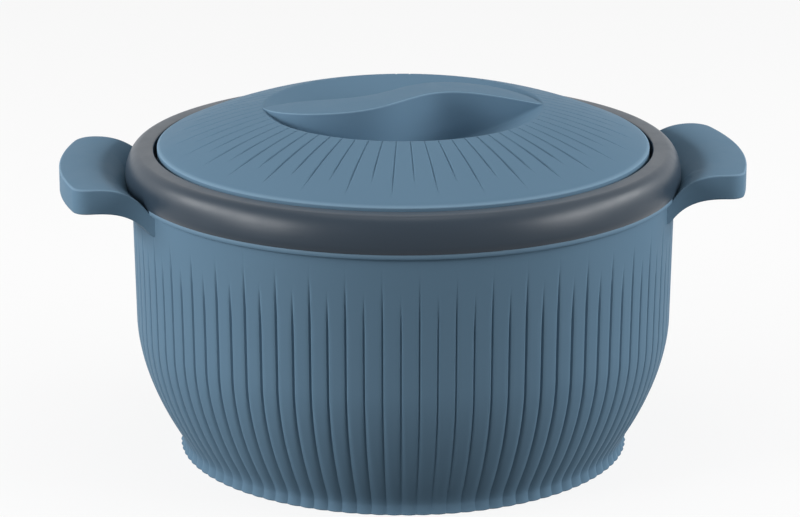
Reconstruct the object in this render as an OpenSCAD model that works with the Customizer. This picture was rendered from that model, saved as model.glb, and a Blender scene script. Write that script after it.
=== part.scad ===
// Insulated chapati casserole: a fluted double-walled bowl with a steel
// liner, two clip-in side handles, a grey rim collar and a lift-off domed lid
// whose S-shaped grip bar crosses a finger dish.
// Millimetres, +Z up, origin on the table under the centre of the foot,
// handles along X.

/* [Body] */
// Outer radius of the shell at the belly
belly_r = 121.75; // [118:0.25:122.5]
// Height at which the wall turns in towards the foot
belly_z = 62; // [50:1:75]
// How far the bowl draws in between belly and foot neck
belly_drop = 19.35; // [14:0.05:24]
// Exponent of the drawn-in curve, higher is rounder
belly_power = 1.83; // [1.6:0.01:2.2]
// Outward lean of the upper wall, millimetres per millimetre
wall_draft = 0.016; // [0:0.002:0.02]
// Height of the foot below the neck
foot_h = 6.8; // [6:0.2:12]
// Step of the foot back from the bowl at the neck
foot_step = 0.7; // [0.5:0.1:2]
// Flare of the foot from its waist to the table
foot_flare = 0.6; // [0.4:0.1:3]
// Width of the ring that touches the table
foot_ring_w = 7; // [5:0.5:10]
// Height of the base panel above the table
base_z = 3.5; // [2:0.5:4.5]
// Wall of the outer shell
shell_wall = 3; // [2.6:0.1:3.4]
// Bevel inside the shell where its wall meets the base panel
panel_round = 5; // [3:0.5:8]
// Height of the shell's top above the table
shell_h = 124.2; // [118:0.2:132]
// Thickness of the top flange, seen as a thin bead below the collar
bead_h = 2.4; // [1.8:0.2:2.8]
// Overhang of the bead past the wall
bead_out = 1.7; // [1:0.1:2]
// Bevel of the bead's edges
bead_round = 0.5; // [0.2:0.1:0.7]

/* [Flutes] */
// Number of flutes round the shell
flute_count = 98; // [60:2:110]
// Depth of a groove in the upright wall
flute_depth = 1; // [0.6:0.1:1.4]
// Width of a groove in the upright wall
flute_w = 2.4; // [1.6:0.1:3]
// Depth of the scallops on the foot
scallop_depth = 1.6; // [1:0.1:2]
// Share of the pitch that half a scallop takes up
scallop_share = 0.3; // [0.2:0.02:0.4]
// Share of a scallop's depth by which its ribs are rounded
rib_round = 0.28; // [0:0.02:0.4]
// How soon a groove reaches its depth below its top, higher is sooner
groove_start = 1.5; // [1:0.1:3]
// Distance of the long grooves' tops below the top of the shell
flute_top_long = 11; // [8:1:16]
// Distance of the short grooves' tops below the top of the shell
flute_top_short = 19; // [17:1:28]

/* [Liner] */
// Thickness of the foam between the shell and the steel bowl at its mouth
foam_t = 15.8; // [15:0.1:19]
// Steel thickness of the bowl
bowl_wall = 0.8; // [0.6:0.1:1.2]
// Height of the bowl's inner floor above the table
bowl_floor_z = 24; // [18:1:34]
// Width of the curve between the floor and the upright wall
bowl_curve_w = 41; // [33:1:53]
// Height of the curve between the floor and the upright wall
bowl_curve_h = 44; // [36:1:55]
// Reach of the bowl's turned-out rim
bowl_rim_w = 11.5; // [9:0.5:12]
// Diameter of the foam filling holes in base and lid liner
fill_hole_d = 18; // [12:1:24]
// Overhang of a plug's head past its hole
plug_head = 4; // [2:0.5:6]
// Thickness of a plug's head
plug_head_t = 1.6; // [1.2:0.1:2]

/* [Collar] */
// Overhang of the collar past the top of the shell's wall
collar_over = 2.8; // [2.5:0.1:5]
// Height of the collar above the shell
collar_h = 15.6; // [14:0.2:18]
// Height of the collar's widest line above the shell
collar_wide_h = 3.3; // [2:0.1:5]
// Taper of the collar between its widest line and its foot
collar_tuck = 0.9; // [0.4:0.1:1]
// Width of the rounded shoulder
shoulder_w = 6.6; // [5:0.2:7.4]
// Width of the collar at its top, from its outside to the mouth that the lid sits in
collar_top_w = 12.9; // [12.1:0.1:13.7]
// Wall of the collar
collar_wall = 2.4; // [2:0.1:2.8]
// Inward reach of the ledge that carries the lid
ledge_w = 6.6; // [5:0.2:8]
// Depth of the ledge below the collar's top
ledge_drop = 8.8; // [7.4:0.2:9.6]
// Thickness of the ledge
ledge_t = 2.6; // [2:0.1:3]
// Length of the collar's skirt inside the shell
skirt_l = 4; // [3:0.5:6]
// Bevel of the collar's edges
collar_bevel = 0.5; // [0.2:0.1:0.7]

/* [Handles] */
// Length of each handle from the shell's wall to the middle of its outer end
handle_l = 32.6; // [26:0.2:42]
// Width of each handle at its outer corners
handle_w = 95; // [80:1:100]
// Width of each handle where it meets the shell
handle_root_w = 97; // [90:1:106]
// How far the sides of each handle draw in between root and corners
handle_waist = 3.5; // [0:0.5:8]
// Bow of the outer end
handle_bow = 8.5; // [4:0.5:12]
// Plan size of the rounded outer corners
handle_corner = 8; // [6:0.5:12]
// Height of the outer top face above the shell's top
handle_lift = 10.4; // [6:0.2:12]
// Thickness of each handle at its outer end
handle_t = 11.4; // [8:0.1:13]
// Distance of the root's top face below the shell's top
root_drop = 2.7; // [2.6:0.1:3.4]
// Thickness of each handle at its root
root_t = 9; // [8.6:0.1:10]
// Radial length over which the top face rises
top_rise_l = 7.5; // [6:0.5:9]
// Radial length of the flat root next to the shell
root_flat = 1; // [0.6:0.1:1.4]
// Radial length over which the underside rises
under_rise_l = 7.5; // [6:0.5:12]
// Half angle of the tongue that passes through the shell
tongue_angle = 17; // [10:1:20]
// Thickness of the tongue
tongue_t = 4.6; // [4:0.1:5.2]
// Height of the catches behind the wall
catch_h = 1.2; // [0.8:0.1:1.4]
// Radial length of a catch
catch_l = 1.8; // [1.2:0.1:2.4]
// Lead-in bevel at the tongue's tip
lead_in = 0.8; // [0.4:0.1:1]
// Reach of the tongue behind the wall
tongue_l = 4.2; // [3.4:0.1:5]

/* [Lid] */
// Play between the lid's edge and the collar
lid_gap = 1.6; // [0.8:0.1:2.4]
// Height of the lid's edge above the collar's top
lid_proud = 1.2; // [0.6:0.1:2]
// Radius that rounds the lid's edge
edge_round = 1.1; // [0.5:0.1:1.2]
// Rise of the dome over its edge
dome_h = 22.3; // [18:0.1:26]
// Exponent of the dome, higher is flatter on top
dome_power = 2.35; // [2.2:0.05:3]
// Wall of the lid cover
lid_wall = 2.4; // [2:0.1:2.8]
// Radius of the finger dish
dish_r = 63; // [58:0.5:68]
// Depth of the finger dish below the crown of the dome
dish_depth = 27; // [22:0.5:27.5]
// Swell of the grip bar's two lobes away from the long axis
bar_lobe = 26; // [22:0.5:29]
// Half length of the grip bar, from the centre to a lobe's crest
bar_lobe_x = 27; // [24:0.5:31]
// Hollow of the grip bar's concave flanks past the long axis
bar_hollow = 3.6; // [1:0.2:5]
// Where a flank of the grip bar crosses the long axis
bar_cross = 12; // [9:0.5:14]
// Run and rise of the flank just before it crosses
bar_slope = [8, 7.5];
// Length of the bar's solid ends at the dish's rim
bar_end = 9; // [7:0.5:14]

/* [Lid grooves] */
// Number of radial grooves on the lid, long and short by turns
ray_count = 66; // [40:2:80]
// Turn of the first long groove from the front
ray_turn = 3.2; // [0:0.1:5]
// Depth of a groove at the edge of the dish
ray_depth = 0.8; // [0.4:0.1:1.2]
// Steepness of a groove's sides, degrees
ray_side = 34; // [25:1:50]
// Distance from the lid's edge to the end of a long groove
ray_long_margin = 6; // [4:0.5:10]
// Distance from the lid's edge to the end of a short groove
ray_short_margin = 14; // [11:0.5:22]

/* [Lid liner] */
// Play of the lid's plug inside the steel bowl
plug_gap = 1.5; // [1:0.1:3]
// Depth of the plug below the ledge
plug_depth = 12; // [10:0.5:16]
// Wall of the lid liner
liner_wall = 2; // [1.6:0.1:2.4]
// Rise of the lid liner's underside towards its centre
liner_rise = 3; // [1:0.5:4]
// Round between the liner's wall and its underside
liner_round = 5; // [3:0.5:7]

/* [Fits] */
// Clearance between pieces that are fixed to each other
fit = 0.2; // [0.1:0.05:0.3]
// Height of the lid's skirt over the ledge that it rests on
rest_gap = 0.3; // [0.2:0.05:0.4]

/* [Hidden] */
$fn = 96;
casserole_blue = "#67839a";
collar_grey = "#4a5359";
foam_cream = "#e8dcb8";
steel_bright = "#c9ccce";
liner_white = "#d7dadb";
// A cut reaches this far past the face it opens
past = 1;
// Direction of the front, where the first groove of each kind starts
front = -90;

// Heights that follow from the driving dimensions
collar_top = shell_h + collar_h;
collar_wide_z = shell_h + collar_wide_h;
ledge_z = collar_top - ledge_drop;
ledge_low = ledge_z - ledge_t;
rim_z = ledge_low - fit;
skirt_z = shell_h - skirt_l;
panel_z = base_z + shell_wall;
lid_z = ledge_z + rest_gap;
edge_z = collar_top + lid_proud;
crown_z = edge_z + dome_h;
dish_z = crown_z - dish_depth;
plug_z = ledge_z - plug_depth;
root_top = shell_h - root_drop;
handle_top = shell_h + handle_lift;
tongue_z = skirt_z - fit - catch_h - tongue_t / 2;

// Radii that follow from the driving dimensions
neck_r = belly_r - belly_drop;
wall_top_r = shell_r(shell_h - bead_h);
bead_r = wall_top_r + bead_out;
inside_r = shell_r(tongue_z) - shell_wall;
skirt_r = inside_r - fit;
collar_r = wall_top_r + collar_over;
collar_in_r = skirt_r - collar_wall;
mouth_r = collar_r - collar_top_w;
ledge_r = mouth_r - ledge_w;
lid_r = mouth_r - lid_gap;
bowl_r = inside_r - foam_t - bowl_wall;
bowl_flat_r = bowl_r - bowl_curve_w;
plug_r = bowl_r - plug_gap;
root_r = wall_top_r + fit;
handle_reach = root_r + handle_l;
foot_r = neck_r - foot_step + foot_flare;
ring_in_r = foot_r - foot_ring_w;
core_r = ring_in_r - 5 * past;

// ---------------------------------------------------------------- curves

// Share of the way down from the belly to the neck, 0 above the belly
function drawn_in(z) = max(0, min(1, (belly_z - z) / (belly_z - foot_h)));

// Radius of the shell's ribs at height z
function shell_r(z) =
    z >= belly_z ? belly_r + (z - belly_z) * wall_draft :
    belly_r - belly_drop * pow(drawn_in(z), belly_power);

// Radius of the foot's ribs at height z
function foot_at(z) = foot_r - foot_flare * sin(90 * z / foot_h);

// Radius of the steel bowl's inside for a turn t from its wall (0) to its floor (90)
function bowl_at(t) = bowl_flat_r + (bowl_r - bowl_flat_r) * cos(t);

// Height of the dome's surface at radius r
function dome_z(r) = edge_z + dome_h * (1 - pow(min(r, lid_r) / lid_r, dome_power));

// Height of the finger dish's surface at radius r
function dish_at(r) = dish_z + (dome_z(dish_r) - dish_z) * pow(r / dish_r, 2);

// Height of a handle face that rises from low to high over the length l, s past its start
function risen(low, high, l, s) = high - (high - low) * exp(-s / l);

// Points of a cubic curve from a to d with the handles b and c, in n steps
function curve(a, b, c, d, n) = [
    for (i = [0 : n])
        let (t = i / n, s = 1 - t)
        s * s * s * a + 3 * s * s * t * b + 3 * s * t * t * c + t * t * t * d
];

// Points of the list mirrored through the origin
function turned(points) = [for (p = points) [-p[0], -p[1]]];

// ------------------------------------------------------------ outer shell

// Depth of a groove at height z, for a groove that ends at top_z
function groove_depth(z, top_z) =
    let (swell = (scallop_depth - flute_depth) * pow(drawn_in(z), 2))
    (flute_depth + swell) * max(0, min(1, groove_start * (top_z - z) / (top_z - belly_z)));

// Half of a groove's angle at height z: wide scallops on the foot, narrow above
function groove_half(z) =
    let (narrow = atan(flute_w / 2 / belly_r), wide = scallop_share * 360 / flute_count)
    narrow + (wide - narrow) * pow(drawn_in(z), 2);

// One ring of the fluted skin: groove, rib edge, rib crest, rib edge by turns
function flute_ring(z) = [
    for (i = [0 : flute_count - 1])
        let (
            pitch = 360 / flute_count,
            start = (i + 0.5) * pitch + front,
            top_z = shell_h - (i % 2 == 0 ? flute_top_long : flute_top_short),
            crest = z < foot_h ? foot_at(z) : shell_r(z),
            depth = groove_depth(z, top_z),
            half = groove_half(z),
            edge = crest - rib_round * depth * pow(drawn_in(z), 2)
        )
        for (s = [[0, crest - depth], [half, edge], [pitch / 2, crest], [pitch - half, edge]])
            [s[1] * cos(start + s[0]), s[1] * sin(start + s[0]), z]
];

// Heights of the rings of the fluted skin
function ring_heights() =
    let (long_z = shell_h - flute_top_long, short_z = shell_h - flute_top_short)
    concat(
        [0, foot_h * 0.6],
        [for (t = [0, 0.07, 0.18, 0.34, 0.55, 0.78]) foot_h + (belly_z - foot_h) * t],
        [for (t = [0.2, 0.7, 1]) belly_z + (short_z - belly_z) * t],
        [long_z, shell_h - bead_h]
    );

// Thick ring with the fluted skin, from the table to the underside of the bead
module fluted_ring() {
    heights = ring_heights();
    n = 4 * flute_count;
    top = len(heights) - 1;
    low = (top + 1) * n;
    high = low + flute_count;
    core = [
        for (z = [0, shell_h - bead_h], i = [0 : flute_count - 1])
            let (a = (i + 0.5) * 360 / flute_count + front)
            [core_r * cos(a), core_r * sin(a), z]
    ];
    skin = [
        for (j = [0 : top - 1], i = [0 : n - 1])
            let (a = j * n + i, b = j * n + (i + 1) % n)
            each [[a, a + n, b + n], [a, b + n, b]]
    ];
    ends = [
        for (i = [0 : flute_count - 1])
            let (k = (i + 1) % flute_count, last = (4 * i + 4) % n, up = top * n)
            each concat(
                [for (s = [0 : 3]) [low + i, 4 * i + s, (4 * i + s + 1) % n]],
                [for (s = [0 : 3]) [high + i, up + (4 * i + s + 1) % n, up + 4 * i + s]],
                [[low + i, last, low + k], [high + i, high + k, up + last]],
                [[low + i, low + k, high + k], [low + i, high + k, high + i]]
            )
    ];
    polyhedron(concat([for (z = heights) each flute_ring(z)], core), concat(skin, ends), convexity = 6);
}

// Radial section of the space inside the shell, drawn in by an extra gap
module cavity_section(gap) {
    wall = shell_wall + gap;
    low = panel_z + gap;
    rise = belly_z - foot_h;
    polygon(concat(
        [[0, low], [neck_r - wall - panel_round, low]],
        [for (t = [0.03, 0.12, 0.24, 0.4, 0.6, 0.8, 1])
            let (z = foot_h + rise * t)
            [shell_r(z) - wall, z]],
        [[inside_r - gap, tongue_z], [inside_r - gap, shell_h + past], [0, shell_h + past]]
    ));
}

// Sector of a revolved section, centred on the +X axis
module sector(half_angle) {
    rotate([0, 0, -half_angle])
    rotate_extrude(angle = 2 * half_angle)
    children();
}

// Both sides of the body, for what is repeated at each handle
module each_side() {
    for (turn = [0, 180])
        rotate([0, 0, turn])
        children();
}

// Slot in the shell that a handle's tongue passes through
module tongue_slot() {
    half_t = tongue_t / 2 + fit;
    sector(tongue_angle + fit)
    translate([inside_r - past, tongue_z - half_t])
    square([shell_wall + 3 * past, 2 * half_t]);
}

// Everything that is cut out of the shell
module shell_hollows() {
    rotate_extrude()
    cavity_section(0);
    translate([0, 0, -past])
    cylinder(r = ring_in_r, h = base_z + past);
    translate([0, 0, base_z - past])
    cylinder(d = fill_hole_d, h = shell_wall + 2 * past);
    each_side()
    tongue_slot();
}

// Flange on top of the shell, seen as a bead below the collar
module bead() {
    in_r = inside_r - 2 * past;
    translate([0, 0, shell_h - bead_h])
    rotate_extrude()
    polygon([
        [in_r, 0], [bead_r - bead_round, 0], [bead_r, bead_round],
        [bead_r, bead_h - bead_round], [bead_r - bead_round, bead_h], [in_r, bead_h]
    ]);
}

// Outer shell: fluted wall, drawn-in foot, base panel and top bead
module outer_shell() {
    color(casserole_blue)
    difference() {
        union() {
            fluted_ring();
            bead();
            translate([0, 0, base_z - past])
            cylinder(r = core_r + 2 * past, h = shell_wall + 2 * past);
        }
        shell_hollows();
    }
}

// Plug with its head down: head below z = 0, stem through a wall above it
module hole_plug(wall) {
    head_r = fill_hole_d / 2 + plug_head;
    stem_r = fill_hole_d / 2 - fit;
    rotate_extrude()
    polygon([
        [0, -plug_head_t], [head_r - plug_head_t / 2, -plug_head_t], [head_r, -plug_head_t / 2],
        [head_r, 0], [stem_r, 0], [stem_r, wall], [0, wall]
    ]);
}

// Plug that closes the foam filling hole under the base
module fill_plug() {
    color(casserole_blue)
    translate([0, 0, base_z - fit / 2])
    hole_plug(shell_wall);
}

// ----------------------------------------------------------- steel liner

// Points of the steel bowl's underside, moved out by extra, from its rim to its floor
function bowl_outside(extra) =
    let (skin = bowl_wall + extra, curve_z = bowl_floor_z + bowl_curve_h)
    concat(
        [[bowl_r + bowl_rim_w + extra, rim_z - skin], [bowl_r + skin, rim_z - skin]],
        [for (t = [0 : 10 : 90]) [bowl_at(t) + skin * cos(t), curve_z - (bowl_curve_h + skin) * sin(t)]],
        [[0, bowl_floor_z - skin]]
    );

// Points of the steel bowl's inside, from its floor to its rim
function bowl_inside() = concat(
    [[0, bowl_floor_z]],
    [for (t = [90 : -10 : 0]) [bowl_at(t), bowl_floor_z + bowl_curve_h * (1 - sin(t))]],
    [[bowl_r, rim_z - bowl_wall], [bowl_r + bowl_wall, rim_z], [bowl_r + bowl_rim_w, rim_z]]
);

// Stainless steel bowl with a turned-out rim that the collar clamps
module inner_bowl() {
    color(steel_bright)
    rotate_extrude()
    polygon(concat(bowl_inside(), bowl_outside(0)));
}

// Space that the steel bowl takes out of the foam
module bowl_block() {
    rotate_extrude()
    polygon(concat([[0, collar_top], [bowl_r + bowl_rim_w + fit, collar_top]], bowl_outside(fit)));
}

// Space that the collar's skirt takes out of the foam
module skirt_block() {
    difference() {
        translate([0, 0, skirt_z - fit])
        cylinder(r = bead_r, h = collar_h);
        translate([0, 0, skirt_z - fit - past])
        cylinder(r = collar_in_r - fit, h = collar_h + 2 * past);
    }
}

// Space that a handle's tongue takes out of the foam
module tongue_block() {
    hook = tongue_t / 2 + catch_h + fit;
    sector(tongue_angle + 2 * fit)
    translate([inside_r - tongue_l - fit, tongue_z - hook])
    square([tongue_l + past, 2 * hook]);
}

// Foam between the shell and the steel bowl
module body_foam() {
    color(foam_cream)
    difference() {
        union() {
            rotate_extrude()
            cavity_section(fit);
            translate([0, 0, skirt_z])
            cylinder(r = collar_in_r - fit, h = rim_z - bowl_wall - fit - skirt_z);
        }
        bowl_block();
        skirt_block();
        each_side()
        tongue_block();
    }
}

// ---------------------------------------------------------------- collar

// Grey collar: rounded shoulder, mouth, lid ledge and a skirt in the shell
module rim_collar() {
    shoulder_x = collar_r - shoulder_w;
    shoulder_h = collar_top - collar_wide_z;
    hollow_r = mouth_r + collar_wall;
    color(collar_grey)
    rotate_extrude()
    polygon(concat(
        [[ledge_r, ledge_z], [ledge_r, ledge_low + collar_bevel]],
        [[ledge_r + collar_bevel, ledge_low], [collar_in_r, ledge_low]],
        [[collar_in_r, skirt_z], [skirt_r - collar_bevel, skirt_z], [skirt_r, skirt_z + 2 * collar_bevel]],
        [[skirt_r, ledge_z], [hollow_r, ledge_z]],
        [[hollow_r, collar_top - collar_wall]],
        [for (t = [80 : -10 : 0]) [
            shoulder_x + (shoulder_w - collar_wall) * cos(t),
            collar_wide_z + (shoulder_h - collar_wall) * sin(t)
        ]],
        [[collar_r - collar_tuck - collar_wall, shell_h], [collar_r - collar_tuck - collar_bevel, shell_h]],
        [[collar_r - collar_tuck, shell_h + collar_bevel]],
        [for (t = [0 : 7.5 : 90]) [shoulder_x + shoulder_w * cos(t), collar_wide_z + shoulder_h * sin(t)]],
        [[mouth_r + collar_bevel, collar_top], [mouth_r, collar_top - collar_bevel], [mouth_r, ledge_z]]
    ));
}

// --------------------------------------------------------------- handles

// Plan of the handle on the +X side
module handle_plan() {
    half = handle_w / 2;
    root = handle_root_w / 2;
    root_x = sqrt(root_r * root_r - root * root);
    corner_y = half - handle_corner;
    corner_x = handle_reach - handle_bow * pow(corner_y / half, 2);
    side_x = handle_reach - handle_bow - handle_corner;
    third = (side_x - root_x) / 3;
    side = curve(
        [root_x, root], [root_x + third, root - handle_waist],
        [side_x - third, half], [side_x, half], 7
    );
    corner = curve(
        [side_x, half], [side_x + handle_corner * 2 / 3, half],
        [corner_x, half - handle_corner / 3], [corner_x, corner_y], 5
    );
    end = [
        for (i = [1 : 7])
            let (y = corner_y * (1 - i / 4))
            [handle_reach - handle_bow * pow(y / half, 2), y]
    ];
    upper = concat([[0, root]], side, [for (i = [1 : len(corner) - 1]) corner[i]]);
    lower = [for (i = [len(upper) - 1 : -1 : 0]) [upper[i][0], -upper[i][1]]];
    polygon(concat(upper, end, lower));
}

// Radial section of a handle: a wave that dips below the collar
module handle_section() {
    steps = [0, 1.2, 2.6, 4.2, 6.2, 8.6, 11.5, 15, 19.5, 26, 2 * (handle_reach - root_r)];
    under = root_top - root_t;
    outer_under = handle_top - handle_t;
    polygon(concat(
        [[root_r, under]],
        [for (s = steps) [root_r + root_flat + s, risen(under, outer_under, under_rise_l, s)]],
        [for (i = [len(steps) - 1 : -1 : 0])
            [root_r + root_flat + steps[i], risen(root_top, handle_top, top_rise_l, steps[i])]],
        [[root_r, root_top]]
    ));
}

// Radial section of the tongue with its two catches behind the shell's wall
module tongue_section() {
    half = tongue_t / 2;
    tip = inside_r - tongue_l;
    catch_x = inside_r - fit;
    end_x = root_r + root_flat;
    upper = [
        [tip, half - lead_in], [tip + lead_in, half], [catch_x - catch_l, half + catch_h],
        [catch_x, half + catch_h], [catch_x, half], [end_x, half]
    ];
    lower = [for (i = [len(upper) - 1 : -1 : 0]) [upper[i][0], -upper[i][1]]];
    translate([0, tongue_z])
    polygon(concat(upper, lower));
}

// Handle on the +X side: paddle and clip-in tongue
module handle() {
    color(casserole_blue)
    union() {
        intersection() {
            sector(45)
            handle_section();
            linear_extrude(height = collar_top)
            handle_plan();
        }
        sector(tongue_angle)
        tongue_section();
    }
}

module handle_right() {
    handle();
}

module handle_left() {
    rotate([0, 0, 180])
    handle();
}

// ------------------------------------------------------------------- lid

// Points of the lid's rim and dome, drawn in by a wall of thickness t
function dome_points(t) =
    let (
        round_r = t > 0 ? 0 : edge_round,
        rim = lid_r - t,
        radii = [for (k = [14 : -1 : 0]) lid_r * sin(6 * k)]
    )
    concat(
        [for (a = [0 : 22.5 : 67.5]) [rim - round_r * (1 - cos(a)), edge_z - t - round_r * (1 - sin(a))]],
        [for (r = radii) if (r < rim - 2 * edge_round) [r, dome_z(r) - t]]
    );

// Radial section under the dome, drawn in by a wall of thickness t
module dome_section(t) {
    low = t > 0 ? lid_z - past : lid_z;
    polygon(concat([[0, low], [lid_r - t, low]], dome_points(t)));
}

// Radial section above the finger dish, widened by a wall of thickness t
module dish_section(t) {
    rim = dish_r + t;
    polygon(concat(
        [for (k = [0 : 8]) [rim * k / 8, dish_at(rim * k / 8) - t]],
        [[rim, crown_z + past], [0, crown_z + past]]
    ));
}

// Front flank of the grip bar, from the left tip to the right tip
function bar_front() =
    let (
        lobe = [-bar_lobe_x, -bar_lobe],
        cross = [bar_cross, 0] - bar_slope,
        hollow = [bar_lobe_x, bar_hollow],
        pull = [dish_r - bar_lobe_x, 0] / 2.5,
        left = curve([-dish_r, 1], [-dish_r, 1] + [pull[0] / 3, -bar_lobe * 0.65], lobe - pull, lobe, 7),
        middle = curve(lobe, lobe + pull, cross - bar_slope, cross, 5),
        rise = curve(cross, cross + bar_slope, hollow - pull * 0.7, hollow, 5),
        right = curve(hollow, hollow + pull * 0.7, [dish_r, -2.5] - pull, [dish_r, -2.5], 5)
    )
    concat(left, [for (part = [middle, rise, right]) for (i = [1 : 5]) part[i]]);

// Points of a flank moved inwards by t, left out near the tips
function inset(points, t) = [
    for (i = [1 : len(points) - 2])
        let (d = points[i + 1] - points[i - 1], n = norm(d), p = points[i] + [-d[1], d[0]] * t / n)
        if (abs(points[i][0]) < dish_r - bar_end) p
];

// Upright prism of the grip bar, with its flanks moved inwards by t
module bar_prism(t) {
    flank = t > 0 ? inset(bar_front(), t) : bar_front();
    translate([0, 0, lid_z])
    linear_extrude(height = crown_z - lid_z + past)
    polygon(concat(flank, turned(flank)));
}

// Space of the finger dish, widened by a wall of thickness t, round the grip bar
module dish_space(t) {
    difference() {
        rotate_extrude()
        dish_section(t);
        bar_prism(t);
    }
}

// Everything under the dome but the dish, with the bar left standing
module lid_block(t) {
    difference() {
        rotate_extrude()
        dome_section(t);
        dish_space(t);
    }
}

// Half of a groove cutter: the space over a groove's bed, tilted to one side
module ray_half(outer_r, side) {
    inner_r = dish_r - 3 * past;
    squeeze = cos(ray_side);
    top = (crown_z - edge_z + ray_depth + past) * squeeze;
    bed = [
        for (k = [0 : 5])
            let (
                r = inner_r + (outer_r - inner_r) * k / 5,
                fade = min(1, (outer_r - r) / (outer_r - dish_r))
            )
            [r, (dome_z(r) - ray_depth * fade - edge_z) * squeeze]
    ];
    translate([0, 0, edge_z])
    rotate([side * ray_side, 0, 0])
    rotate([90, 0, 0])
    linear_extrude(height = dish_r, center = true)
    polygon(concat(bed, [[outer_r, top], [inner_r, top]]));
}

// V-shaped radial grooves that fade out towards the lid's edge
module rays() {
    for (i = [0 : ray_count - 1]) {
        outer_r = lid_r - (i % 2 == 0 ? ray_long_margin : ray_short_margin);
        rotate([0, 0, front + ray_turn + i * 360 / ray_count])
        intersection() {
            ray_half(outer_r, 1);
            ray_half(outer_r, -1);
        }
    }
}

// Domed lid cover with the finger dish, the S-shaped grip bar and the grooves
module lid_cover() {
    color(casserole_blue)
    difference() {
        lid_block(0);
        lid_block(lid_wall);
        rays();
    }
}

// Points of the lid liner's underside: centre, turn, bevel and upright wall
function liner_under() = [
    [0, plug_z + liner_rise], [(plug_r - liner_round) / 2, plug_z + liner_rise * 3 / 4],
    [plug_r - liner_round, plug_z], [plug_r - liner_round / 3, plug_z + liner_round / 3],
    [plug_r, plug_z + liner_round]
];

// Points of the lid liner's upper side, lifted by extra, from its wall to its centre
function liner_over(extra) =
    let (wall = liner_wall + extra, under = liner_under())
    concat(
        [[plug_r - wall, lid_z + wall], [plug_r - wall, plug_z + liner_round]],
        [for (i = [3 : -1 : 0]) under[i] + [i == 3 ? -wall / 2 : 0, wall]]
    );

// White liner that closes the lid from below and plugs the steel bowl
module lid_liner() {
    color(liner_white)
    difference() {
        rotate_extrude()
        polygon(concat(
            liner_under(),
            [[plug_r, lid_z], [lid_r - lid_wall - fit, lid_z], [lid_r - lid_wall - fit, lid_z + liner_wall]],
            liner_over(0)
        ));
        translate([0, 0, plug_z])
        cylinder(d = fill_hole_d, h = plug_depth);
    }
}

// Plug that closes the foam filling hole of the lid liner
module lid_fill_plug() {
    slope = liner_rise / 2 * (fill_hole_d / 2 + plug_head) / (plug_r - liner_round);
    color(liner_white)
    translate([0, 0, plug_z + liner_rise - slope - fit / 2])
    hole_plug(liner_wall);
}

// Foam inside the lid, filling the grip bar as well
module lid_foam() {
    wall = lid_wall + fit;
    over = liner_over(fit);
    foam_low = [for (i = [len(over) - 1 : -1 : 0]) over[i]];
    color(foam_cream)
    difference() {
        rotate_extrude()
        polygon(concat([[lid_r - wall, lid_z + liner_wall + fit]], dome_points(wall), foam_low));
        dish_space(wall);
    }
}

outer_shell();
fill_plug();
body_foam();
inner_bowl();
rim_collar();
handle_left();
handle_right();
lid_cover();
lid_foam();
lid_liner();
lid_fill_plug();
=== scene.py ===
"""Looks of an insulated chapati casserole: fluted shell, grey collar, lift-off lid.

Every length in the size classes is in millimetres, in the frame of the CAD
model: +Z up, the handles along X, the photographed front towards -Y. Meshes
are made in metres.
"""

import logging
import math
from dataclasses import dataclass, field
from enum import Enum
from typing import Iterable, Optional, Sequence

import bpy
import bmesh
from mathutils import Euler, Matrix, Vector


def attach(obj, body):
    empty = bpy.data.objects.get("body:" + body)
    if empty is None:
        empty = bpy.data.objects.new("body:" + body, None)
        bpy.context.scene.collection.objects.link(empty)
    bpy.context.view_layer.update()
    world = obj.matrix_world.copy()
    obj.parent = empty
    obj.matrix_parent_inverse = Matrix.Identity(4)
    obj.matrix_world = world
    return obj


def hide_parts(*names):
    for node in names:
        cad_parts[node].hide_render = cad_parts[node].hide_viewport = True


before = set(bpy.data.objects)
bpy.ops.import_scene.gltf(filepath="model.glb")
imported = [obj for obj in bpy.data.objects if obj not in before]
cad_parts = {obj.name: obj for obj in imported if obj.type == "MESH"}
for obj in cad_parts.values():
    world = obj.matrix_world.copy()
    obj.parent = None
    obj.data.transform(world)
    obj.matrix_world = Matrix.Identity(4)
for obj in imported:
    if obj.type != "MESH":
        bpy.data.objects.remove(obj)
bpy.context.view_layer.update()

MM = 0.001
LOG = logging.getLogger("casserole")

# Attributes of points: where a highlight is painted on edges, where flutes press in, where
# grooves do
HIGHLIGHT_EDGE = "edge"
FLUTED = "fluted"
GROOVED = "grooved"

# Angle above which an edge stays sharp, degrees, and the same on pressed skins
SHARP = 32.0
SHARP_PRESSED = 28.0
# Columns of a plain round piece, and steps of a rounded corner
ROUND_COLUMNS = 240
EASE_STEPS = 4
# Direction of the photographed front, degrees
FRONT = -90.0
# Radius below which a ring is one point, and least length to divide by, mm
ON_AXIS = 1e-6
TINY = 1e-6
# Most of a side that the rounding of one of its corners may take
CORNER_SHARE = 0.49

Point = tuple[float, float]
Vertex = tuple[float, float, float]
Color = tuple[float, float, float]

WHITE = (1.0, 1.0, 1.0, 1.0)


class Body(Enum):
    """CAD body that a piece rides on."""

    CASSEROLE = "casserole"
    LID = "lid"


# --------------------------------------------------------------------- nodes


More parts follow.
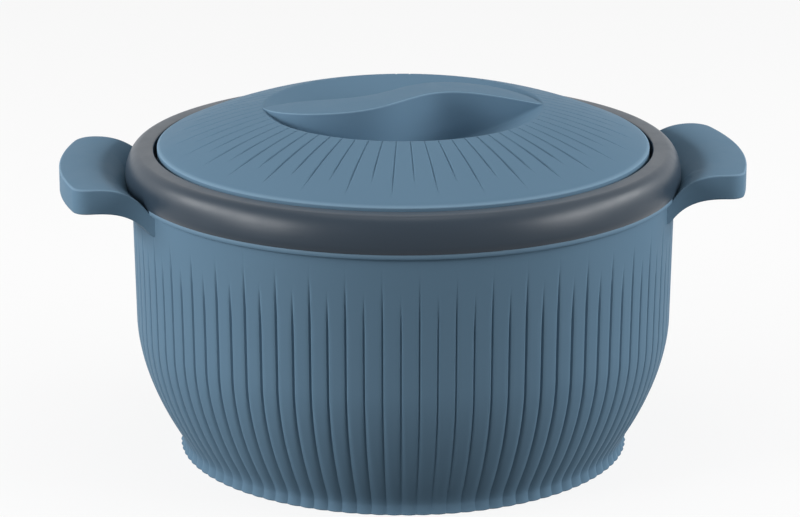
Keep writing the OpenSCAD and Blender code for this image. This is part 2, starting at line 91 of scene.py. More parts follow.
class NodeWriter:
    """Adds nodes to a tree and links their sockets with few words."""

    def __init__(self, tree: bpy.types.NodeTree) -> None:
        """Keep the tree that the nodes go into."""
        self.tree = tree

    def fill(self, node: bpy.types.Node, inputs: dict) -> None:
        """Set or link the inputs of a node.

        Args:
            node: The node.
            inputs: Values or output sockets by input name or index.
        """
        for key, value in inputs.items():
            socket = node.inputs[key]
            if isinstance(value, bpy.types.NodeSocket):
                self.tree.links.new(value, socket)
            else:
                socket.default_value = value

    def add(self, kind: str, inputs: Optional[dict] = None, **settings: object) -> bpy.types.Node:
        """Add a node, set its properties and fill or link its inputs.

        Args:
            kind: Blender's name of the node type.
            inputs: Values or output sockets by input name or index.
            settings: Properties of the node.

        Returns:
            The new node.
        """
        node = self.tree.nodes.new(kind)
        for name, value in settings.items():
            setattr(node, name, value)
        self.fill(node, inputs or {})
        return node

    def group(self, group: bpy.types.NodeTree, inputs: Optional[dict] = None) -> bpy.types.Node:
        """Place a shader group, with its inputs given by name."""
        return self.add("ShaderNodeGroup", inputs, node_tree=group)

    def math(self, operation: str, *values: object) -> bpy.types.NodeSocket:
        """Result of a math node on one, two or three values or sockets."""
        inputs = dict(enumerate(values))
        return self.add("ShaderNodeMath", inputs, operation=operation).outputs[0]

    def clamp(self, value: object) -> bpy.types.NodeSocket:
        """The value held between 0 and 1."""
        return self.add("ShaderNodeClamp", {"Value": value}).outputs[0]

    def mix(self, share: object, low: object, high: object) -> bpy.types.NodeSocket:
        """Colour that runs from low to high with the share."""
        inputs = {"Factor": share, "A": low, "B": high}
        return self.add("ShaderNodeMix", inputs, data_type="RGBA").outputs["Result"]

    def place(self) -> bpy.types.NodeSocket:
        """Place of a surface point, in Object coordinates."""
        return self.add("ShaderNodeTexCoord").outputs["Object"]

    def polar(self, x: object, y: object) -> tuple[bpy.types.NodeSocket, bpy.types.NodeSocket]:
        """Radius and turn of a point about the Z axis."""
        squares = self.math("ADD", self.math("MULTIPLY", x, x), self.math("MULTIPLY", y, y))
        return self.math("SQRT", squares), self.math("ARCTAN2", y, x)


def fresh_nodes(owner: bpy.types.ID) -> NodeWriter:
    """Empty a node tree.

    Args:
        owner: Material or world that has the tree.

    Returns:
        Writer for its nodes.
    """
    owner.use_nodes = True
    owner.node_tree.nodes.clear()
    return NodeWriter(owner.node_tree)


def new_group(name: str, kind: str, inputs: dict, outputs: dict) -> bpy.types.NodeTree:
    """Make a node group with named sockets.

    Args:
        name: Name of the group.
        kind: "ShaderNodeTree" or "GeometryNodeTree".
        inputs: Socket type, or socket type and default value, by socket name.
        outputs: Socket type by socket name.

    Returns:
        The empty group.
    """
    tree = bpy.data.node_groups.new(name, kind)
    for label, spec in inputs.items():
        socket_type, default = spec if isinstance(spec, tuple) else (spec, None)
        socket = tree.interface.new_socket(label, in_out="INPUT", socket_type=socket_type)
        if default is not None:
            socket.default_value = default
    for label, socket_type in outputs.items():
        tree.interface.new_socket(label, in_out="OUTPUT", socket_type=socket_type)
    return tree


def moulding_group() -> bpy.types.NodeTree:
    """Shader group of a moulded plastic surface.

    Returns:
        Group with Flow Size, Peel Size and Scuff Size in metres, and the
        outputs Tone (slow colour drift), Gloss (rub marks) and Height (fine
        texture), each from 0 to 1.
    """
    tree = new_group(
        "moulded_surface", "ShaderNodeTree",
        {"Flow Size": ("NodeSocketFloat", 0.05), "Peel Size": ("NodeSocketFloat", 0.0006),
         "Scuff Size": ("NodeSocketFloat", 0.012)},
        {"Tone": "NodeSocketFloat", "Gloss": "NodeSocketFloat", "Height": "NodeSocketFloat"},
    )
    w = NodeWriter(tree)
    sizes = w.add("NodeGroupInput")
    place = w.place()

    def noise(size: str, detail: float = 2.0, rough: float = 0.5) -> bpy.types.NodeSocket:
        """Noise whose cells have a named size.

        Args:
            size: Name of the input that holds it.
            detail: Number of finer layers.
            rough: Strength of the finer layers.

        Returns:
            Socket of the noise.
        """
        scale = w.math("DIVIDE", 1.0, sizes.outputs[size])
        inputs = {"Vector": place, "Scale": scale, "Detail": detail, "Roughness": rough}
        return w.add("ShaderNodeTexNoise", inputs).outputs["Fac"]

    scuff = noise("Scuff Size", 6.0, 0.65)
    rub = w.add("ShaderNodeMapRange", {"Value": scuff, "From Min": 0.42, "From Max": 0.7})
    w.add("NodeGroupOutput", {
        "Tone": noise("Flow Size"), "Gloss": rub.outputs[0], "Height": noise("Peel Size"),
    })
    return tree


def polar_group() -> bpy.types.NodeTree:
    """Shader group that turns Object coordinates into polar ones.

    Returns:
        Group with the outputs Radius, Turn and Height.
    """
    tree = new_group("polar_place", "ShaderNodeTree", {}, {
        "Radius": "NodeSocketFloat", "Turn": "NodeSocketFloat", "Height": "NodeSocketFloat",
    })
    w = NodeWriter(tree)
    x, y, z = w.add("ShaderNodeSeparateXYZ", {"Vector": w.place()}).outputs
    radius, turn = w.polar(x, y)
    w.add("NodeGroupOutput", {"Radius": radius, "Turn": turn, "Height": z})
    return tree


def edge_highlight_group() -> bpy.types.NodeTree:
    """Shader group that paints a highlight onto the marked edges of a moulding.

    Returns:
        Group with Color, Edge Color, Strength and Break Size in metres, and
        the output Color. It reads the point attribute named by HIGHLIGHT_EDGE.
    """
    tree = new_group(
        "painted_edge_highlight", "ShaderNodeTree",
        {"Color": "NodeSocketColor", "Edge Color": "NodeSocketColor",
         "Strength": ("NodeSocketFloat", 1.0), "Break Size": ("NodeSocketFloat", 0.01)},
        {"Color": "NodeSocketColor"},
    )
    w = NodeWriter(tree)
    source = w.add("NodeGroupInput").outputs
    edge = w.add("ShaderNodeAttribute", attribute_name=HIGHLIGHT_EDGE, attribute_type="GEOMETRY")
    noise = w.add("ShaderNodeTexNoise", {
        "Vector": w.place(), "Scale": w.math("DIVIDE", 1.0, source["Break Size"]), "Detail": 3.0,
    })
    broken = w.add("ShaderNodeMapRange", {
        "Value": noise.outputs["Fac"], "To Min": 0.75, "To Max": 1.1,
    })
    # Painted highlight: marked edge points take the lighter edge colour, broken up by noise
    marked = w.math("MULTIPLY", edge.outputs["Fac"], broken.outputs[0])
    share = w.clamp(w.math("MULTIPLY", marked, source["Strength"]))
    w.add("NodeGroupOutput", {"Color": w.mix(share, source["Color"], source["Edge Color"])})
    return tree


# ------------------------------------------------------------------ finishes


def linear(rgb: Color) -> tuple[float, float, float, float]:
    """Turn an sRGB colour into Blender's linear colour.

    Args:
        rgb: Red, green and blue from 0 to 255, as a screen shows them.

    Returns:
        Linear red, green, blue and an alpha of 1.
    """
    def one(value: float) -> float:
        """Linear value of one channel."""
        share = value / 255.0
        return share / 12.92 if share <= 0.04045 else ((share + 0.055) / 1.055) ** 2.4
    return (one(rgb[0]), one(rgb[1]), one(rgb[2]), 1.0)


class Finish:
    """A finish that can be turned into a material once."""

    name: str
    groups: dict[str, bpy.types.NodeTree] = {}

    @classmethod
    def prepare(cls) -> None:
        """Build the shader groups that the finishes share."""
        Finish.groups = {
            "moulding": moulding_group(), "polar": polar_group(), "edge": edge_highlight_group(),
        }

    def start(self) -> tuple[bpy.types.Material, NodeWriter, bpy.types.Node]:
        """Make an empty material with its shader and output.

        Returns:
            The material, a writer for its nodes and the Principled shader.
        """
        material = bpy.data.materials.new(self.name)
        w = fresh_nodes(material)
        shader = w.add("ShaderNodeBsdfPrincipled")
        w.add("ShaderNodeOutputMaterial", {"Surface": shader.outputs[0]})
        return material, w, shader

    def material(self) -> bpy.types.Material:
        """The material of this finish, made at its first use."""
        found = bpy.data.materials.get(self.name)
        return found if found else self.make()

    def make(self) -> bpy.types.Material:
        """Build the material.

        Returns:
            The new material.
        """
        raise NotImplementedError


@dataclass(frozen=True)
class MouldedPlastic(Finish):
    """Injection-moulded plastic with a satin skin.

    Args:
        name: Name of the material.
        color: Colour as a screen shows it.
        shade: Colour where the resin flowed unevenly.
        edge: Colour of the painted highlight on the marked edges.
        roughness: Roughness of clean plastic.
        rubbed: Roughness where hands and cloths rubbed it.
        peel: Height of the fine mould texture, metres.
        specular: Strength of the reflection.
    """

    name: str
    color: Color
    shade: Color
    edge: Color
    roughness: float = 0.42
    rubbed: float = 0.52
    peel: float = 0.000006
    specular: float = 0.12

    def make(self) -> bpy.types.Material:
        """Build the material.

        Returns:
            The new material.
        """
        material, w, shader = self.start()
        skin = w.group(Finish.groups["moulding"]).outputs
        plain = w.mix(skin["Tone"], linear(self.shade), linear(self.color))
        rough = w.add("ShaderNodeMapRange", {
            "Value": skin["Gloss"], "To Min": self.roughness, "To Max": self.rubbed,
        })
        bump = w.add("ShaderNodeBump", {
            "Strength": 1.0, "Distance": self.peel, "Height": skin["Height"],
        })
        # Painted highlight: the marked edges turn to the lighter edge colour
        highlighted = w.group(Finish.groups["edge"], {"Color": plain, "Edge Color": linear(self.edge)})
        w.fill(shader, {
            "Base Color": highlighted.outputs["Color"], "Roughness": rough.outputs[0],
            "Normal": bump.outputs[0], "Specular IOR Level": self.specular,
        })
        return material


@dataclass(frozen=True)
class SpunSteel(Finish):
    """Stainless steel with the fine rings that spinning leaves.

    Args:
        name: Name of the material.
        color: Colour as a screen shows it.
        roughness: Least roughness.
        brushed: Greatest roughness.
        ring: Width of a ring, metres.
        run: How often a ring's tone changes in a radian of its turn.
        scratch: Depth of a ring, metres.
    """

    name: str
    color: Color
    roughness: float = 0.2
    brushed: float = 0.34
    ring: float = 0.0004
    run: float = 2.0
    scratch: float = 0.00001

    def make(self) -> bpy.types.Material:
        """Build the material.

        Returns:
            The new material.
        """
        material, w, shader = self.start()
        place = w.group(Finish.groups["polar"]).outputs
        across = w.math("DIVIDE", place["Radius"], self.ring)
        up = w.math("DIVIDE", place["Height"], self.ring)
        turn = w.math("MULTIPLY", place["Turn"], self.run)
        point = w.add("ShaderNodeCombineXYZ", {0: across, 1: up, 2: turn})
        grain = w.add("ShaderNodeTexNoise", {
            "Vector": point.outputs[0], "Scale": 1.0, "Detail": 3.0, "Roughness": 0.6,
        }).outputs["Fac"]
        rough = w.add("ShaderNodeMapRange", {
            "Value": grain, "From Min": 0.3, "From Max": 0.7,
            "To Min": self.roughness, "To Max": self.brushed,
        })
        bump = w.add("ShaderNodeBump", {
            "Strength": 0.4, "Distance": self.scratch, "Height": grain,
        })
        w.fill(shader, {
            "Base Color": linear(self.color), "Metallic": 1.0,
            "Roughness": rough.outputs[0], "Normal": bump.outputs[0],
        })
        return material


@dataclass(frozen=True)
class RigidFoam(Finish):
    """Cream insulation foam with small closed cells.

    Args:
        name: Name of the material.
        color: Colour as a screen shows it.
        cell: Size of a cell, metres.
        roughness: Roughness of the foam.
    """

    name: str
    color: Color
    cell: float = 0.0012
    roughness: float = 0.9

    def make(self) -> bpy.types.Material:
        """Build the material.

        Returns:
            The new material.
        """
        material, w, shader = self.start()
        cells = w.add("ShaderNodeTexVoronoi", {"Vector": w.place(), "Scale": 1.0 / self.cell})
        bump = w.add("ShaderNodeBump", {
            "Strength": 0.6, "Distance": self.cell / 3.0, "Height": cells.outputs["Distance"],
        })
        w.fill(shader, {
            "Base Color": linear(self.color), "Roughness": self.roughness,
            "Normal": bump.outputs[0],
        })
        return material


BLUE = (103, 132, 154)
BLUE_SHADE = (100, 129, 151)
# Each edge colour is a painted highlight for the marked edges
SHELL_BLUE = MouldedPlastic("shell_blue", BLUE, BLUE_SHADE, edge=(120, 148, 170), specular=0.01)
LID_BLUE = MouldedPlastic("lid_blue", BLUE, BLUE_SHADE, edge=(124, 153, 175), specular=0.01)
COLLAR_GREY = MouldedPlastic(
    "collar_grey", color=(42, 56, 69), shade=(39, 53, 66), edge=(64, 78, 91),
    roughness=0.35, rubbed=0.41, peel=0.000004, specular=0.35,
)
LINER_WHITE = MouldedPlastic(
    "liner_white", color=(222, 224, 224), shade=(216, 218, 217), edge=(226, 228, 228),
    roughness=0.35, specular=0.3,
)
BOWL_STEEL = SpunSteel("bowl_steel", (205, 205, 203))
CORE_FOAM = RigidFoam("core_foam", (232, 220, 184))


# -------------------------------------------------------------------- curves


def arc(center: Point, radius: Point, start: float, end: float, steps: int) -> list[Point]:
    """Points of an elliptic arc.

    Args:
        center: Middle of the ellipse.
        radius: Its two half axes.
        start: Angle of the first point, degrees.
        end: Angle of the last point, degrees.
        steps: Number of steps between them.

    Returns:
        The points, both ends included.
    """
    turns = (math.radians(start + (end - start) * i / steps) for i in range(steps + 1))
    return [(center[0] + radius[0] * math.cos(t), center[1] + radius[1] * math.sin(t))
            for t in turns]


def cubic(a: Point, b: Point, c: Point, d: Point, steps: int) -> list[Point]:
    """Points of a cubic curve.

    Args:
        a: First point.
        b: Handle of the first point.
        c: Handle of the last point.
        d: Last point.
        steps: Number of steps between them.

    Returns:
        The points, both ends included.
    """
    out = []
    for i in range(steps + 1):
        t = i / steps
        s = 1.0 - t
        f = (s * s * s, 3 * s * s * t, 3 * s * t * t, t * t * t)
        out.append(tuple(sum(k * p[n] for k, p in zip(f, (a, b, c, d))) for n in (0, 1)))
    return out


def bend(a: Point, corner: Point, b: Point, steps: int) -> list[Point]:
    """Points of a soft bend that leaves out the corner between its ends.

    Args:
        a: First point.
        corner: Corner that is left out.
        b: Last point.
        steps: Number of steps between them.

    Returns:
        The points, both ends included.
    """
    out = []
    for i in range(steps + 1):
        t = i / steps
        f = ((1 - t) ** 2, 2 * t * (1 - t), t * t)
        out.append(tuple(sum(k * p[n] for k, p in zip(f, (a, corner, b))) for n in (0, 1)))
    return out


def eased(points: Sequence[Vertex], steps: int = EASE_STEPS) -> list[Point]:
    """Round the corners of a closed section.

    Args:
        points: Corners as across, up and the size of the rounding.
        steps: Number of steps in each rounding.

    Returns:
        Points of the section with its corners rounded.
    """
    out: list[Point] = []
    count = len(points)
    for i, (x, y, size) in enumerate(points):
        here = Vector((x, y))
        if size <= 0.0:
            out.append((x, y))
            continue
        before = Vector(points[i - 1][:2]) - here
        after = Vector(points[(i + 1) % count][:2]) - here
        reach = min(size, before.length * CORNER_SHARE, after.length * CORNER_SHARE)
        a = here + before.normalized() * reach
        b = here + after.normalized() * reach
        out += bend(a, here, b, steps)
    return out


def quarter(share: float) -> float:
    """Height of a hollow quarter round, from 1 at share 0 to 0 at share 1."""
    back = max(0.0, 1.0 - share)
    return 1.0 - math.sqrt(max(0.0, 1.0 - back ** 2))


def even_turns(count: int) -> list[float]:
    """Angles of evenly spaced columns round the axis, radians."""
    return [2 * math.pi * i / count for i in range(count)]


def gathered_turns(count: int, first: float, columns: int, pull: float) -> list[float]:
    """Angles of columns that gather at evenly spaced grooves.

    Args:
        count: Number of grooves.
        first: Angle of the first groove, degrees.
        columns: Columns for each groove.
        pull: From 0 for even columns to nearly 1 for the closest.

    Returns:
        The angles in radians, a column lying on each groove.
    """
    pitch = 2 * math.pi / count
    out = []
    for i in range(count):
        for u in (k / columns for k in range(columns)):
            gathered = i + u - pull * math.sin(2 * math.pi * u) / (2 * math.pi)
            out.append(math.radians(first) + pitch * gathered)
    return out


# -------------------------------------------------------------------- meshes


def add_object(name: str, data: bpy.types.ID) -> bpy.types.Object:
    """Make an object and link it to the scene.

    Args:
        name: Name of the object.
        data: Its mesh, lamp or camera.

    Returns:
        The object.
    """
    obj = bpy.data.objects.new(name, data)
    bpy.context.scene.collection.objects.link(obj)
    return obj


def shade(mesh: bpy.types.Mesh, sharp: float = SHARP) -> None:
    """Smooth-shade a mesh but for its edges above the angle, in degrees."""
    mesh.polygons.foreach_set("use_smooth", [True] * len(mesh.polygons))
    mesh.set_sharp_from_angle(angle=math.radians(sharp))


def mark(mesh: bpy.types.Mesh, name: str, chosen: Iterable[int]) -> None:
    """Give the chosen points of a mesh the value 1 in a named attribute.

    Args:
        mesh: Mesh that gets the attribute.
        name: Name of the attribute.
        chosen: Numbers of the points.
    """
    values = [0.0] * len(mesh.vertices)
    for i in chosen:
        values[i] = 1.0
    mesh.attributes.new(name, "FLOAT", "POINT").data.foreach_set("value", values)


def mend(bm: bmesh.types.BMesh, rounds: int = 6) -> None:
    """Put plain faces in place of those around an edge that doesn't close.

    Args:
        bm: Mesh to mend.
        rounds: Most rounds of mending.
    """
    for _ in range(rounds):
        faulty = {v for e in bm.edges if not e.is_manifold for v in e.verts}
        if not faulty:
            return
        around = list({f for v in faulty for f in v.link_faces})
        bmesh.ops.delete(bm, geom=around, context="FACES")
        loose = [e for e in bm.edges if not e.link_faces]
        bmesh.ops.delete(bm, geom=loose, context="EDGES")
        bmesh.ops.holes_fill(bm, edges=[e for e in bm.edges if e.is_boundary], sides=0)


class RowMesh:
    """Mesh that is made row by row round the Z axis."""

    def __init__(self, turns: Sequence[float]) -> None:
        """Keep the angles of the columns, in radians."""
        self.turns = turns
        self.vertices: list[Vertex] = []
        self.faces: list[list[int]] = []

    def point(self, x: float, y: float, z: float) -> int:
        """Add a point in millimetres and give its number."""
        self.vertices.append((x, y, z))
        return len(self.vertices) - 1

    def ring(self, r: float, z: float) -> list[int]:
        """Add a ring of points, or one point on the axis.

        Args:
            r: Radius of the ring.
            z: Its height.

        Returns:
            Numbers of its points, one for each column.
        """
        if r < ON_AXIS:
            return [self.point(0.0, 0.0, z)] * len(self.turns)
        return [self.point(r * math.cos(t), r * math.sin(t), z) for t in self.turns]

    def join(self, low: Sequence[int], high: Sequence[int], closed: bool = True) -> None:
        """Fill the strip between two rows of points.

        Args:
            low: Numbers of the points of one row.
            high: Numbers of the points of the other row.
            closed: False to leave out the face from the last points to the first.
        """
        count = len(low)
        for i in range(count if closed else count - 1):
            k = (i + 1) % count
            corners = list(dict.fromkeys([low[i], low[k], high[k], high[i]]))
            if len(corners) > 2:
                self.faces.append(corners)

    def build(self, name: str) -> bpy.types.Object:
        """Make the smooth-shaded object.

        Args:
            name: Name of the object.

        Returns:
            The object, linked to the scene.
        """
        mesh = bpy.data.meshes.new(name)
        points = [(x * MM, y * MM, z * MM) for x, y, z in self.vertices]
        mesh.from_pydata(points, [], self.faces)
        mesh.validate()
        shade(mesh)
        return add_object(name, mesh)


def lathe(name: str, section: Sequence[Point],
          turns: Optional[Sequence[float]] = None) -> bpy.types.Object:
    """Revolve a section round the Z axis.

    Args:
        name: Name of the object.
        section: Points of a closed section as radius and height, its outside
            upwards and its inside downwards. A point on the axis becomes one
            vertex.
        turns: Angles of the columns, ROUND_COLUMNS even ones if left out.

    Returns:
        The revolved object.
    """
    mesh = RowMesh(turns or even_turns(ROUND_COLUMNS))
    rings = [mesh.ring(r, z) for r, z in section]
    for low, high in zip(rings, rings[1:] + rings[:1]):
        mesh.join(low, high)
    return mesh.build(name)


def finish_piece(obj: bpy.types.Object, finish: Finish, body: Body, slot: str,
                 *nodes: str) -> None:
    """Dress a piece, let it ride and say which CAD nodes it stands for.

    Args:
        obj: The piece.
        finish: Its finish.
        body: CAD body that it rides on.
        slot: Not used.
        nodes: CAD nodes that it replaces.
    """
    obj.data.materials.clear()
    obj.data.materials.append(finish.material())
    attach(obj, body.value)
    if nodes:
        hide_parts(*nodes)
    stands_for = ", ".join(nodes) or "trim"
    LOG.info("%s: %d faces, stands for %s", obj.name, len(obj.data.polygons), stands_for)


# ------------------------------------------------------------ geometry nodes


class RuleTree:
    """A Geometry Nodes tree that shapes a mesh by a rule."""

    def __init__(self, name: str, sizes: dict[str, float], counts: dict[str, int]) -> None:
        """Make the tree with its named inputs.

        Args:
            name: Name of the tree.
            sizes: Each length in metres, angle in radians or number, by input name.
            counts: Each whole number, by input name.
        """
        inputs: dict = {"Geometry": "NodeSocketGeometry"}
        inputs.update({label: ("NodeSocketFloat", value) for label, value in sizes.items()})
        inputs.update({label: ("NodeSocketInt", value) for label, value in counts.items()})
        inputs["Finish"] = "NodeSocketMaterial"
        outputs = {"Geometry": "NodeSocketGeometry"}
        self.values = {**sizes, **counts}
        self.tree = new_group(name, "GeometryNodeTree", inputs, outputs)
        self.w = NodeWriter(self.tree)
        self.source = self.w.add("NodeGroupInput")

    def size(self, label: str) -> bpy.types.NodeSocket:
        """Output socket of a named input."""
        return self.source.outputs[label]

    def place(self) -> tuple[bpy.types.NodeSocket, ...]:
        """Where a point lies.

        Returns:
            Sockets of its x, y, z, radius and turn.
        """
        position = self.w.add("GeometryNodeInputPosition").outputs[0]
        x, y, z = self.w.add("ShaderNodeSeparateXYZ", {0: position}).outputs
        return x, y, z, *self.w.polar(x, y)

    def end(self, position: dict[int, bpy.types.NodeSocket], mask: str) -> None:
        """Move the masked points and close the tree.

        Args:
            position: New x, y and z of each point, by the numbers 0 to 2.
            mask: Name of the attribute that is above one half where the rule holds.
        """
        w = self.w
        place = w.add("ShaderNodeCombineXYZ", position)
        held = w.add("GeometryNodeInputNamedAttribute", {"Name": mask}, data_type="FLOAT")
        chosen = w.add("FunctionNodeCompare", {0: held.outputs[0], 1: 0.5},
                       data_type="FLOAT", operation="GREATER_THAN")
        moved = w.add("GeometryNodeSetPosition", {
            "Geometry": self.size("Geometry"), "Selection": chosen.outputs[0],
            "Position": place.outputs[0],
        })
        real = w.add("GeometryNodeRealizeInstances", {0: moved.outputs[0]})
        dressed = w.add("GeometryNodeSetMaterial", {
            "Geometry": real.outputs[0], "Material": self.size("Finish"),
        })
        w.add("NodeGroupOutput", {0: dressed.outputs[0]})

    def apply(self, obj: bpy.types.Object, finish: Finish) -> None:
        """Run the tree on an object and keep its result as a plain mesh.

        Args:
            obj: Object whose mesh the tree shapes.
            finish: Finish that the tree sets.
        """
        modifier = obj.modifiers.new(self.tree.name, "NODES")
        modifier.node_group = self.tree
        sockets = {item.name: item.identifier for item in self.tree.interface.items_tree
                   if item.in_out == "INPUT"}
        for label, value in self.values.items():
            modifier[sockets[label]] = value
        modifier[sockets["Finish"]] = finish.material()
        graph = bpy.context.evaluated_depsgraph_get()
        mesh = bpy.data.meshes.new_from_object(obj.evaluated_get(graph))
        obj.modifiers.remove(modifier)
        old = obj.data
        obj.data = mesh
        mesh.name = obj.name
        bpy.data.meshes.remove(old)
        shade(mesh, SHARP_PRESSED)


# ----------------------------------------------------------------- casserole


@dataclass
class FlutedShell:
    """Outer shell: fluted wall on a scalloped foot, base panel and top bead."""

    # Bowl, wall and foot
    belly_r: float = 121.75
    belly_z: float = 62.0
    belly_drop: float = 19.35
    belly_power: float = 1.83
    wall_draft: float = 0.016
    foot_h: float = 6.8
    foot_step: float = 0.4
    foot_flare: float = 0.9
    foot_round: float = 0.5
    foot_mid: Point = (0.3, 0.24)
    flare_z: tuple[float, ...] = (1.2, 2.2, 3.2)
    # The flare ends and the neck's bend ends at these shares of the foot's height
    waist_share: float = 0.6
    neck_share: float = 1.65
    neck_steps: int = 9
    bowl_steps: int = 22
    wall_steps: int = 18
    # Base panel, inside and bead
    ring_w: float = 7.0
    ring_round: float = 0.6
    cove: float = 1.0
    base_z: float = 3.5
    wall: float = 3.0
    panel_cove: float = 5.0
    inside_shares: tuple[float, ...] = (1.0, 0.8, 0.6, 0.4, 0.24, 0.12, 0.03)
    land_h: float = 7.0
    land_drop: float = 7.7
    height: float = 124.2
    bead_h: float = 2.4
    bead_out: float = 1.7
    bead_round: float = 1.3
    plug_hole_r: float = 9.0
    # Flutes
    flutes: int = 98
    flute_depth: float = 1.0
    flute_half: float = 1.2
    scallop_depth: float = 0.7
    scallop_half: float = 0.5
    long_drop: float = 11.0
    short_drop: float = 19.0
    groove_start: float = 2.5
    tip_width: float = 0.35
    columns: int = 10
    gather: float = 0.7

    @property
    def neck_r(self) -> float:
        """Radius where the bowl meets the foot."""
        return self.belly_r - self.belly_drop

    @property
    def foot_r(self) -> float:
        """Radius of the foot on the table."""
        return self.neck_r - self.foot_step + self.foot_flare

    @property
    def inside_r(self) -> float:
        """Inner radius of the wall at its top."""
        return self.radius(self.height - self.land_drop) - self.wall

    def radius(self, z: float) -> float:
        """Radius of the ribs.

        Args:
            z: Height above the table.

        Returns:
            Radius at that height.
        """
        if z >= self.belly_z:
            return self.belly_r + (z - self.belly_z) * self.wall_draft
        share = min(1.0, (self.belly_z - z) / (self.belly_z - self.foot_h))
        return self.belly_r - self.belly_drop * share ** self.belly_power

    def lean(self, z: float, span: float = 1.0) -> float:
        """Growth of the ribs' radius with height, measured over a short span."""
        return (self.radius(z + span) - self.radius(z - span)) / (2.0 * span)

    def climb(self, low_z: float, high_z: float, steps: int) -> list[Point]:
        """Points of the ribs above low_z and up to high_z."""
        heights = (low_z + (high_z - low_z) * i / steps for i in range(1, steps + 1))
        return [(self.radius(z), z) for z in heights]

    def skin(self) -> list[Point]:
        """Outside of the section, along the crest of a rib.

        Returns:
            Its points, from the table to the bead.
        """
        foot, curve = self.foot_r, self.foot_round
        mid = (foot - self.foot_mid[0] * curve, self.foot_mid[1] * curve)
        low = [(foot - curve, 0.0), mid, (foot, curve)]
        waist = foot - self.foot_flare
        start, end = self.waist_share * self.foot_h, self.neck_share * self.foot_h
        flare = [(foot - self.foot_flare * math.sin(math.pi / 2 * z / start), z)
                 for z in self.flare_z]
        corner = (waist, end - (self.radius(end) - waist) / self.lean(end))
        neck = bend((waist, start), corner, (self.radius(end), end), self.neck_steps)
        bowl = self.climb(end, self.belly_z, self.bowl_steps)
        wall = self.climb(self.belly_z, self.height - self.long_drop, self.wall_steps)
        return low + flare + neck + bowl + wall

    def rest(self) -> list[Point]:
        """Bead, inside, base panel and the foot's inside.

        Returns:
            Their points, from the bead down to the table.
        """
        top, base = self.height, self.base_z
        under = top - self.bead_h
        out = self.radius(under) + self.bead_out
        bead = eased([
            (self.radius(under), under, 0.2), (out, under, self.bead_round),
            (out, top, 0.5), (self.inside_r, top, 0.4),
        ])
        rise = self.belly_z - self.foot_h
        heights = [self.foot_h + rise * t for t in self.inside_shares]
        inner = [(self.radius(z) - self.wall, z) for z in heights]
        panel = base + self.wall
        low = [(self.neck_r - self.wall - self.panel_cove, panel),
               (self.plug_hole_r, panel), (self.plug_hole_r, base)]
        ring, cove, curve = self.foot_r - self.ring_w, self.cove, self.ring_round
        foot = [(ring - cove, base), (ring - 0.3 * cove, base - 0.3 * cove), (ring, base - cove),
                (ring, curve), (ring + curve / 3, curve / 4), (ring + curve, 0.0)]
        return bead + [(self.inside_r, top - self.land_h)] + inner + low + foot

    def flute_tree(self) -> RuleTree:
        """Geometry Nodes tree that presses the flutes into the wall.

        Returns:
            The tree. Long and short grooves alternate, narrow above the belly
            and widening to scallops on the foot.
        """
        rule = RuleTree("press_flutes", {
            "Groove Depth": self.flute_depth * MM, "Groove Half Width": self.flute_half * MM,
            "Scallop Depth": self.scallop_depth * MM, "Scallop Half Share": self.scallop_half,
            "Belly Radius": self.belly_r * MM, "Belly Height": self.belly_z * MM,
            "Foot Height": self.foot_h * MM, "Long Top": (self.height - self.long_drop) * MM,
            "Short Top": (self.height - self.short_drop) * MM, "Start": self.groove_start,
            "Tip Width": self.tip_width,
        }, {"Flutes": self.flutes})
        m, size = rule.w.math, rule.size
        x, y, z, radius, turn = rule.place()
        pitch = m("DIVIDE", 2 * math.pi, size("Flutes"))
        steps = m("SUBTRACT", m("DIVIDE", m("ADD", turn, math.pi / 2), pitch), 0.5)
        number = m("ROUND", steps)
        off = m("ABSOLUTE", m("SUBTRACT", steps, number))
        odd = m("ABSOLUTE", m("MODULO", m("ADD", number, 1.0), 2.0))
        span = m("SUBTRACT", size("Long Top"), size("Short Top"))
        top = m("SUBTRACT", size("Long Top"), m("MULTIPLY", odd, span))
        fall = m("SUBTRACT", size("Belly Height"), size("Foot Height"))
        drawn = rule.w.clamp(m("DIVIDE", m("SUBTRACT", size("Belly Height"), z), fall))
        share = m("MULTIPLY", drawn, drawn)
        extra = m("MULTIPLY", m("SUBTRACT", size("Scallop Depth"), size("Groove Depth")), share)
        rest = m("DIVIDE", m("SUBTRACT", top, z), m("SUBTRACT", top, size("Belly Height")))
        begun = rule.w.clamp(m("MULTIPLY", rest, size("Start")))
        depth = m("MULTIPLY", m("ADD", size("Groove Depth"), extra), begun)
        full = m("DIVIDE", size("Groove Half Width"), m("MULTIPLY", size("Belly Radius"), pitch))
        grown = m("MULTIPLY", m("SUBTRACT", 1.0, size("Tip Width")), begun)
        narrow = m("MULTIPLY", full, m("ADD", size("Tip Width"), grown))
        widening = m("MULTIPLY", m("SUBTRACT", size("Scallop Half Share"), narrow), share)
        near = m("MINIMUM", m("DIVIDE", off, m("ADD", narrow, widening)), 1.0)
        cut = m("SUBTRACT", 1.0, m("SINE", m("MULTIPLY", near, math.pi / 2)))
        scale = m("DIVIDE", m("SUBTRACT", radius, m("MULTIPLY", depth, cut)), radius)
        rule.end({0: m("MULTIPLY", x, scale), 1: m("MULTIPLY", y, scale), 2: z}, FLUTED)
        return rule

    def build(self) -> bpy.types.Object:
        """Make the shell, with the flutes marked and a painted highlight marked on the bead's top
        corner.

        Returns:
            The finished piece.
        """
        skin = self.skin()
        first = FRONT + 180.0 / self.flutes
        turns = gathered_turns(self.flutes, first, self.columns, self.gather)
        count = len(turns)
        obj = lathe("shell_wall", skin + self.rest(), turns)
        held = len(skin) * count
        mark(obj.data, FLUTED, range(held))
        # Painted highlight along the bead's top corner
        corner = (EASE_STEPS + 1) * count
        mark(obj.data, HIGHLIGHT_EDGE, range(held + 2 * corner, held + 3 * corner - count))
        self.flute_tree().apply(obj, SHELL_BLUE)
        finish_piece(obj, SHELL_BLUE, Body.CASSEROLE, "shell_plastic", "outer_shell")
        return obj


